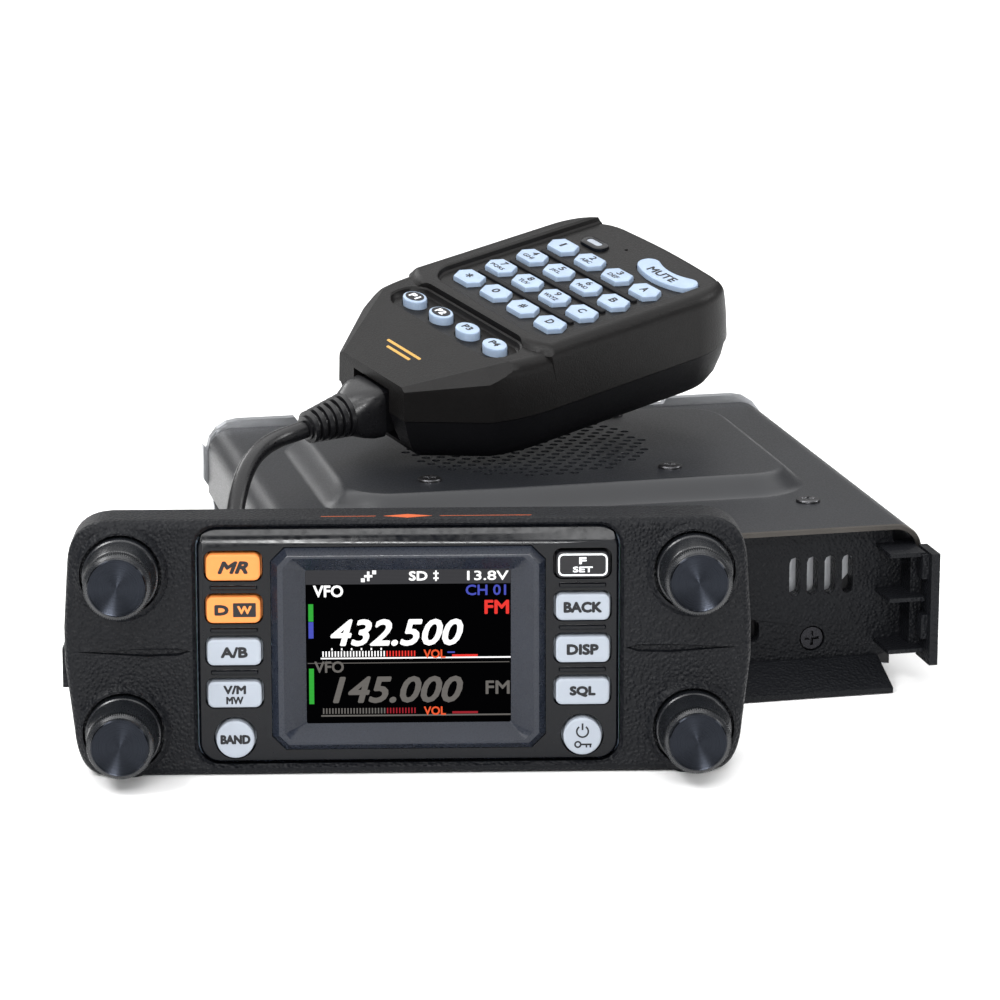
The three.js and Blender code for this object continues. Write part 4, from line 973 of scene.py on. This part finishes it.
def mic_outline():
    """Seen from the face: broad, with a round top end, drawn in by two facets towards the cable."""
    low, high, half = MIC_CABLE, MIC_TOP, MIC_HALF
    near = [(low, -13), (-38, 3.2 - half)] + bend((-38, 3.2 - half), (-31, -half), (-22, -half), 8)
    near += [(20, -half)] + bend((20, -half), (high - 1, 1 - half), (high - 0.8, 14 - half), 12)
    near += bend((high - 0.8, 14 - half), (high - 0.3, 7 - half / 2), (high - 0.2, 0), 6)
    far = [(x, -y) for x, y in reversed(near[:-1])]
    return near + far


def hexagon(extra=0.0):
    half, tip, side = 2.75 + extra, 4.3 + extra, 2.7 + extra / 2
    return [(half, -side), (half, side), (0, tip), (-half, side), (-half, -side), (0, -tip)]


def mute_outline(extra=0.0):
    """A bar of round ends, bent so that its middle comes nearer the number keys."""
    bend_radius, half, turn = 16, 2.8 + extra, 25.8
    across, along = (bend_radius * f(math.radians(turn)) for f in (math.cos, math.sin))
    centre = bend_radius - 0.7
    points = arc(centre, 0, bend_radius + half, 180 - turn, 180 + turn, 12)[:-1]
    points += arc(centre - across, -along, half, 180 + turn, 360 + turn, 12)[:-1]
    points += arc(centre, 0, bend_radius - half, 180 + turn, 180 - turn, 12)[:-1]
    return points + arc(centre - across, along, half, -turn, 180 - turn, 12)[:-1]


def side_walls(top):
    """Levels of the front case from the seam up its sides and over a round edge."""
    rounding = [(0.7 + inset, top - drop) for inset, drop in reversed(quarter(2.9, 3.2, 6))]
    return [(0, SEAM), (0.25, -8), *rounding]


def make_mic_front():
    outline = mic_outline()
    low_body = raised(outline, side_walls(DECK))
    rims = raised(outline, side_walls(RIM))
    deck = rounded(70, 44.8, 6, (14.4, 0), 8)
    pocket = raised(deck, [(0.5, DECK - 2), (0.5, DECK), (0, DECK + 0.4), (-0.3, RIM - 0.4), (-1.0, RIM),
                           (-1.0, 3)])
    rims = cut(rims, pocket, beyond((29.6, 0, RIM), (1, 0, 0.35)))
    field = rounded(86, 62, 12, (17.6, 0), 10)
    slopes = [(-0.6, -20), (-0.6, DECK - 0.4), (0, DECK), (0.7, RIM - 0.9), (1.5, RIM - 0.25),
              (2.6, RIM + 0.05), (2.6, 3)]
    rims = combined(rims, raised(field, slopes), "INTERSECT")
    body = fused(low_body, rims)
    inner = raised(outline, [(2, SEAM - 1), (2.4, -9), (6.5, -5.8)])
    slope = Vector((-math.sin(math.radians(FACE_SLOPE)), 0, math.cos(math.radians(FACE_SLOPE))))
    body = cut(body, inner, beyond(CREST, slope))
    for side in (-1, 1):
        body = cut(body, beyond((-39.2, side * 19.6, -2.8), (-0.467, side * 0.45, 0.75)))
    shelf = rounded(9.6, 42.4, 4.4, (P_KEYS_X, 0), 8)
    body = cut(body, raised(shelf, [(0.5, -2.7), (0, -2.3), (-0.3, -1.5), (-0.7, DECK), (-0.7, 1)]))
    through_face = [(0, -7), (0, 2)]
    holes = [moved(raised(hexagon(0.3), through_face), (x, y, 0)) for x in KEY_ROWS for y in KEY_COLUMNS]
    holes += [moved(raised(ellipse(2.8, 3.7), through_face), (P_KEYS_X, y, 0)) for y in KEY_COLUMNS]
    holes.append(moved(raised(mute_outline(0.3), through_face), (MUTE_X, MUTE_Y, 0)))
    holes.append(moved(raised(circle(0.45, steps=16), through_face), (25.2, 6, 0)))
    holes.append(block(-14, MIC_HALF - 6.5, -10.6, 26, MIC_HALF + 2, -4.4))
    holes.append(block(MIC_CABLE - 1, -7, -30, MIC_CABLE + 5, 7, -8.6))
    body = cut(body, together(holes))
    piece("mic_shell_front", body, MIC, "microphone", MIC_BLACK, ["mic_front_case"])


def make_badge():
    """Two stripes on the slope above the cable."""
    stripes = together([raised(rounded(0.7, length, 0.3, (x, 0), 3), [(0, -0.05), (0, 0.03)])
                        for x, length in ((-6.8, 13), (-8.4, 9))])
    stripes = moved(stripes, CREST, -FACE_SLOPE, "Y")
    piece("mic_badge_stripes", stripes, MIC, "microphone", PRINT_GOLD)


def make_mic_back():
    outline = mic_outline()
    levels = [(7.6, BACK), (6.4, -26.1), (4.6, -24.9), (2.7, -22.2), (1.3, -18.6), (0.5, -15.2),
              (0.3, SEAM - 0.3)]
    body = raised(outline, levels)
    inner = raised(outline, [(9, BACK + 2), (4.6, -21.5), (2.6, SEAM + 1)])
    body = cut(body, inner, block(MIC_CABLE - 1, -7, -22.6, MIC_CABLE + 5, 7, -8.6))
    places = [(x, y) for x in (-36, 26) for y in (-15, 15)]
    for x, y in places:
        hole = moved(turned([(2.4, 0), (2.4, 3)], 24), turn=90, axis="X")
        body = cut(body, moved(hole, (x, y, BACK - 1.6)))
    grip = together([block(x, -12, BACK - 1, x + 1.2, 12, BACK + 0.5) for x in range(-24, 6, 4)])
    body = cut(body, grip)
    piece("mic_shell_back", body, MIC, "microphone", MIC_BACK_BLACK, ["mic_back_case"])
    for i, (x, y) in enumerate(places):
        screw = moved(screw_body(2.1, 1.2), turn=90, axis="X")
        piece(f"mic_back_screw_{i + 1}", moved(screw, (x, y, BACK + 0.2)), MIC, "microphone", DARK_SCREW)


PRINT_GOLD = moulded("print_gold", (0.5, 0.3, 0.08), 0.3, depth=0.003, metallic=0.8, spread=0.05)
make_mic_front()
make_badge()
make_mic_back()


# ---------------------------------------------------------------- microphone keys
NUMBER_KEYS = (
    (("1", ""), ("2", "ABC"), ("3", "DEF"), ("A", "")),
    (("4", "GHI"), ("5", "JKL"), ("6", "MNO"), ("B", "")),
    (("7", "PQRS"), ("8", "TUV"), ("9", "WXYZ"), ("C", "")),
    (("*", ""), ("0", ""), ("#", ""), ("D", "")),
)
CAP_EDGE = [(0, -0.55), (0.12, -0.2), (0.4, -0.04), (0.75, 0)]


def strip(x, half, low, high):
    reach = KEY_COLUMNS[0] + 4
    return block(x - half, -reach, low, x + half, reach, high)


def make_number_keys():
    for i, (x, row) in enumerate(zip(KEY_ROWS, NUMBER_KEYS)):
        caps = strip(x, 3.3, -4.7, -3.5)
        print_bodies = []
        for y, (sign, letters) in zip(KEY_COLUMNS, row):
            cap = raised(hexagon(), [(0, -4.5), *CAP_EDGE])
            caps = fused(caps, moved(cap, (x, y, 0)))
            if letters:
                print_bodies.append(lettering(sign, 1.8, 1.5, (x + 1.0, y, 0), KEYPAD_UP, bold=0.06))
                width = 1.15 * len(letters)
                print_bodies.append(lettering(letters, 1.25, width, (x - 1.15, y, 0), KEYPAD_UP, bold=0.04))
            else:
                width = 0.75 if sign == "1" else 1.8
                print_bodies.append(lettering(sign, 2.1, width, (x, y, 0), KEYPAD_UP, bold=0.08))
        ride = f"number_row_{i + 1}"
        piece(f"{ride}_caps", caps, MIC, ride, MIC_KEY, [f"key_row_{i + 1}"])
        piece(f"{ride}_print", together(print_bodies), MIC, ride, PRINT_BLACK)


def make_program_keys():
    caps = strip(P_KEYS_X, 3, -5.6, -4.4)
    ovals, labels, white_labels = [], [], []
    for i, y in enumerate(KEY_COLUMNS):
        cap = raised(ellipse(2.5, 3.4), [(0, -5.4), *[(inset, z - 0.75) for inset, z in CAP_EDGE]])
        caps = fused(caps, moved(cap, (P_KEYS_X, y, 0)))
        lift = -0.71 if i < 2 else -0.75
        label = lettering(f"P{i + 1}", 1.8, 2.9, (P_KEYS_X, y, lift), KEYPAD_UP, bold=0.1)
        if i < 2:
            oval = raised(ellipse(1.85, 2.7), [(0, -0.77), (0, -0.73)])
            ovals.append(moved(oval, (P_KEYS_X, y, 0)))
            white_labels.append(label)
        else:
            labels.append(label)
    piece("program_caps", caps, MIC, "program_key_strip", MIC_KEY, ["program_keys"])
    piece("program_print", together(ovals + labels), MIC, "program_key_strip", PRINT_BLACK)
    piece("program_print_white", together(white_labels), MIC, "program_key_strip", PRINT_WHITE)


def make_mute_key():
    cap = raised(mute_outline(), [(0, -4.5), *CAP_EDGE])
    cap = fused(cap, block(-3.3, -10, -4.7, 3.3, 10, -3.5))
    piece("mute_cap", moved(cap, (MUTE_X, MUTE_Y, 0)), MIC, "mute_button", MIC_KEY, ["mute_key"])
    label = lettering("MUTE", 2.4, 9.4, (MUTE_X - 0.7, MUTE_Y, 0), KEYPAD_UP, bold=0.1)
    piece("mute_print", label, MIC, "mute_button", PRINT_BLACK)


def make_deck_details():
    ridges = []
    for x in [(a + b) / 2 for a, b in zip(KEY_ROWS, KEY_ROWS[1:])]:
        ridge = raised(rounded(1.6, 36, 0.6, steps=4), [(0, DECK - 0.2), (0.1, -0.65), (0.4, -0.5)])
        ridges.append(moved(ridge, (x, 0, 0)))
    piece("mic_deck_ridges", together(ridges), MIC, "microphone", MIC_BACK_BLACK)
    seat = raised(rounded(4.6, 8.4, 2.2, LAMP, 8), [(0, DECK - 0.2), (0.2, -0.5), (0.8, -0.3)])
    seat = cut(seat, raised(rounded(1.9, 4.9, 0.8, LAMP, 5), [(0, -0.9), (0, 1)]))
    piece("mic_lamp_seat", seat, MIC, "microphone", GLOSS_BLACK)
    lamp = raised(rounded(1.7, 4.7, 0.7, LAMP, 5), [(0, DECK - 0.1), (0, -0.45), (0.2, -0.35)])
    piece("mic_lamp_window", lamp, MIC, "microphone", PALE_KEY)


make_number_keys()
make_program_keys()
make_mute_key()
make_deck_details()


# ---------------------------------------------------------------- strain relief
def squircle(half, power, steps=40):
    """A closed curve between a circle (power 1) and a square (power near 0)."""
    def spread(value):
        return math.copysign(abs(value) ** power, value) * half

    return [(spread(x), spread(y)) for x, y in circle(1, steps=steps)]


def make_strain_relief():
    """A collar that turns from square to round, and a boot of shrinking ribs."""
    z = -15.4
    collar = [(-53.3, 6.4, 0.45), (-55.4, 6.3, 0.5), (-57.6, 5.9, 0.65), (-59.4, 5.35, 0.9),
              (-60.2, 5.0, 1.0)]
    rings = [[(x, u, v + z) for u, v in squircle(half, power)] for x, half, power in collar]
    body = loft(rings)
    body = fused(body, block(-54, -5, z - 5, -48.2, 5, z + 5))
    profile = [(0, 59.6), (4.1, 59.6)]
    ribs = 6
    for i in range(ribs):
        radius, start = 5.15 - 0.27 * i, 60.1 + 1.83 * i
        profile += [(radius - 1.0, start), (radius - 0.15, start + 0.1), (radius, start + 0.3),
                    (radius - 0.12, start + 1.25), (radius - 1.0, start + 1.4)]
    profile += [(2.9, 71.2), (2.5, 71.3), (0, 71.3)]
    boot = moved(turned(profile, 32), turn=90, axis="Z")
    body = fused(body, moved(boot, (0, 0, z)))
    piece("mic_boot", body, MIC, "microphone", RUBBER_GLOSS, ["mic_strain_relief"])


RUBBER_GLOSS = moulded("rubber_gloss", (0.005, 0.005, 0.006), 0.34, grain=0.6, depth=0.01, gloss=0.45)
make_strain_relief()


# ================================================================ radio unit
RADIO_HALF, TOP_Z, SKIRT_Z, FRONT_Y, REAR_Y, EDGE, SKIN = 69.5, 35.5, 20, -57.5, 64.5, 6, 1.2
DOME = {"half": 49.5, "front": -22.5, "rear": 44, "slope": 6.5, "height": 4.2, "corner": 9}
GRILLE = {"x": -3, "y": 14, "radius": 28.5, "pitch": 3.5, "hole": 1.05}


def cover_arch(skin=0.0, low=SKIRT_Z):
    """The cover's section seen from the front, or its inside."""
    half, top, edge = RADIO_HALF - skin, TOP_Z - skin, EDGE - skin
    right = [(half, low)] + arc(half - edge, top - edge, edge, 0, 90, 8)
    return right + [(-x, z) for x, z in reversed(right)]


def dome(drop):
    """The pressed dome, with sides that curve out of the flat and into it again."""
    half, slope = DOME["half"], DOME["slope"]
    width, length = 2 * (half + slope), DOME["rear"] - DOME["front"] + 2 * slope
    foot = rounded(width, length, DOME["corner"] + slope, (0, (DOME["rear"] + DOME["front"]) / 2), 10)
    levels = [(0, TOP_Z - 2 - drop)]
    for i in range(13):
        t = i / 12
        levels.append((slope * t, TOP_Z - 0.03 + (DOME["height"] + 0.03) * t * t * (3 - 2 * t) - drop))
    return raised(foot, levels)


def grille_holes():
    row_step = GRILLE["pitch"] * math.sqrt(3) / 2
    rows = math.floor(GRILLE["radius"] / row_step)
    holes = []
    for row in range(-rows, rows + 1):
        for column in range(-rows - 1, rows + 2):
            dx, dy = (column + row % 2 / 2) * GRILLE["pitch"], row * row_step
            if math.hypot(dx, dy) < GRILLE["radius"]:
                hole = raised(circle(GRILLE["hole"], steps=12), [(0, TOP_Z), (0, TOP_Z + 9)])
                holes.append(moved(hole, (GRILLE["x"] + dx, GRILLE["y"] + dy, 0)))
    return together(holes)


def top_screw_places():
    dome_top = TOP_Z + DOME["height"]
    return [(-31, -13, dome_top), (24.5, -13, dome_top), (-31, 40, dome_top), (24.5, 40, dome_top),
            (-50.7, -34, TOP_Z), (50.7, -34, TOP_Z)]


def make_top_cover():
    soft = 0.25
    body = facing(cover_arch(), [(soft, FRONT_Y), (0, FRONT_Y + soft), (0, REAR_Y - soft), (soft, REAR_Y)])
    body = fused(body, dome(0))
    inside = facing(cover_arch(SKIN, SKIRT_Z - 5), [(0, FRONT_Y - 1), (0, REAR_Y + 1)])
    inside = fused(inside, dome(SKIN))
    body = cut(body, inside, grille_holes())
    cover = piece("cover_top", body, RADIO, "radio_unit", COVER_PAINT, ["top_cover"],
                  angle=40)
    cover.data.materials.append(COVER_EDGE)
    for polygon in cover.data.polygons:
        if abs(polygon.normal.y) > 0.6 and polygon.center.y < (FRONT_Y + 0.3) * MM:
            polygon.material_index = 1
    for i, (x, y, z) in enumerate(top_screw_places()):
        screw = moved(screw_body(2.7, 1.3), turn=-90, axis="X")
        piece(f"cover_screw_{i + 1}", moved(screw, (x, y, z + 0.75)), RADIO, "radio_unit", DARK_SCREW)


COVER_EDGE = brushed("cover_edge", (0.07, 0.065, 0.06), 0.4)
make_top_cover()


# ---------------------------------------------------------------- parts straight from the CAD
FAN_BLACK = moulded("fan_black", (0.008, 0.008, 0.009), 0.42, grain=0.6, depth=0.02)
PAPER_CONE = moulded("paper_cone", (0.02, 0.019, 0.018), 0.8, grain=0.3, depth=0.08)
SOCKET_BLACK = moulded("socket_black", (0.008, 0.008, 0.009), 0.38, grain=0.5, depth=0.012)
CAD_LOOKS = (
    (CAST_ALLOY, ("chassis", "rear_heatsink")),
    (PANEL_BLACK, ("front_panel",)),
    (COVER_PAINT, ("bottom_cover",)),
    (BLACK_SCREW, ("front_screw",)),
    (BRIGHT_METAL, ("antenna_socket", "hanger_stud", "shaft_upper_left", "shaft_upper_right")),
    (SOCKET_BLACK, ("power_inlet", "speaker_jacks", "data_jack", "mic_jack", "link_jack", "head_jack")),
    (FAN_BLACK, ("fan_frame", "fan_rotor")),
    (BOARD_GREEN, ("main_board", "head_board", "mic_board")),
    (INNER_BLACK, ("power_module", "speaker_frame")),
    (SCREEN, ("display_panel",)),
    (PAPER_CONE, ("speaker_cone",)),
    (CASE_BLACK, ("card_cover",)),
    (MIC_KEY, ("key_mat",)),
    (RUBBER, ("ptt_bar",)),
    (SOCKET_BLACK, ("mic_plug",)),
    (WINDOW, ("display_window",)),
)
SHARP_INSIDE = ("main_board", "head_board", "mic_board", "speaker_cone", "display_window", "display_panel",
                "key_mat", "power_module")


def paint_outside(mesh):
    """Black paint on the casting's outer sides and underside, and black on its lower right front corner
    alone; bare metal behind the front panel.
    """
    mesh.materials.append(CAST_BLACK)
    for polygon in mesh.polygons:
        x, y, z = polygon.center / MM
        # the lower right front corner is made black on the right side only, so it is darker there than on
        # the left
        front_corner = x > 50 and y < -50 and z < 15
        if abs(x) > 64.9 or z < 2.5 or front_corner:
            polygon.material_index = 1


def finish_cad_parts():
    """Gives every part that is shown as it was packed a material, and soft edges where it is seen."""
    for material, names in CAD_LOOKS:
        for name in names:
            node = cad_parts[name]
            node.data.materials.clear()
            node.data.materials.append(material)
            for polygon in node.data.polygons:
                polygon.material_index = 0
            if name == "chassis":
                paint_outside(node.data)
            smooth(node.data, 35)
            if name not in SHARP_INSIDE:
                flat = node.modifiers.new("flat", "DECIMATE")
                flat.decimate_type = "DISSOLVE"
                flat.delimit = {"MATERIAL"}
                flat.angle_limit = math.radians(1)
                edges = node.modifiers.new("edges", "BEVEL")
                edges.width = 0.25 * MM
                edges.segments = 2
                edges.limit_method = "ANGLE"
                edges.angle_limit = math.radians(40)
            node.modifiers.new("normals", "WEIGHTED_NORMAL").keep_sharp = True


finish_cad_parts()


# ================================================================ studio
def make_floor():
    nodes = Nodes("studio_floor")
    cloud = nodes.noise(300, 2)
    nodes.drive("Base Color", nodes.between(cloud, (0.93, 0.93, 0.93), (0.95, 0.95, 0.95)))
    nodes.set(Roughness=0.9, Specular_IOR_Level=0.1)
    mesh = bpy.data.meshes.new("studio_floor")
    mesh.from_pydata([(-4, -3, 0), (4, -3, 0), (4, 6, 0), (-4, 6, 0)], [], [(0, 1, 2, 3)])
    floor = bpy.data.objects.new("studio_floor", mesh)
    bpy.context.scene.collection.objects.link(floor)
    mesh.materials.append(nodes.material)


def softbox(name, spot, aim, width, height, power):
    data = bpy.data.lights.new(name, "AREA")
    data.shape = "RECTANGLE"
    data.size, data.size_y, data.energy = width, height, power
    light = bpy.data.objects.new(name, data)
    light.location = spot
    light.rotation_mode = "QUATERNION"
    light.rotation_quaternion = (Vector(aim) - Vector(spot)).to_track_quat("-Z", "Y")
    bpy.context.scene.collection.objects.link(light)


def make_lights():
    softbox("overhead", (0, 0.6, 2.2), (0, 0.5, 0), 4.5, 4.5, 110)
    softbox("behind_left", (-0.5, 1.2, 0.7), (-0.03, 0, 0.03), 0.5, 0.3, 3)
    softbox("right", (0.9, -0.15, 0.55), (0.05, 0, 0.06), 0.2, 0.35, 3)
    softbox("top_left", (-0.6, -0.25, 0.75), (-0.05, -0.08, 0.04), 0.3, 0.3, 4)
    softbox("front_high", (-0.2, -0.89, 0.79), (-0.05, -0.1, 0.05), 0.7, 0.22, 5)
    softbox("front_low", (-0.28, -1.25, 0.33), (-0.05, -0.1, 0.03), 0.16, 0.16, 6)
    softbox("front_low_left", (-0.75, -0.75, 0.25), (-0.08, -0.1, 0.03), 0.12, 0.3, 1.5)
    world = bpy.data.worlds.new("studio")
    bpy.context.scene.world = world
    world.use_nodes = True
    background = world.node_tree.nodes["Background"]
    background.inputs["Color"].default_value = (1, 1, 1, 1)
    background.inputs["Strength"].default_value = 0.28
    bpy.context.scene.view_settings.view_transform = "Standard"


make_floor()
make_lights()
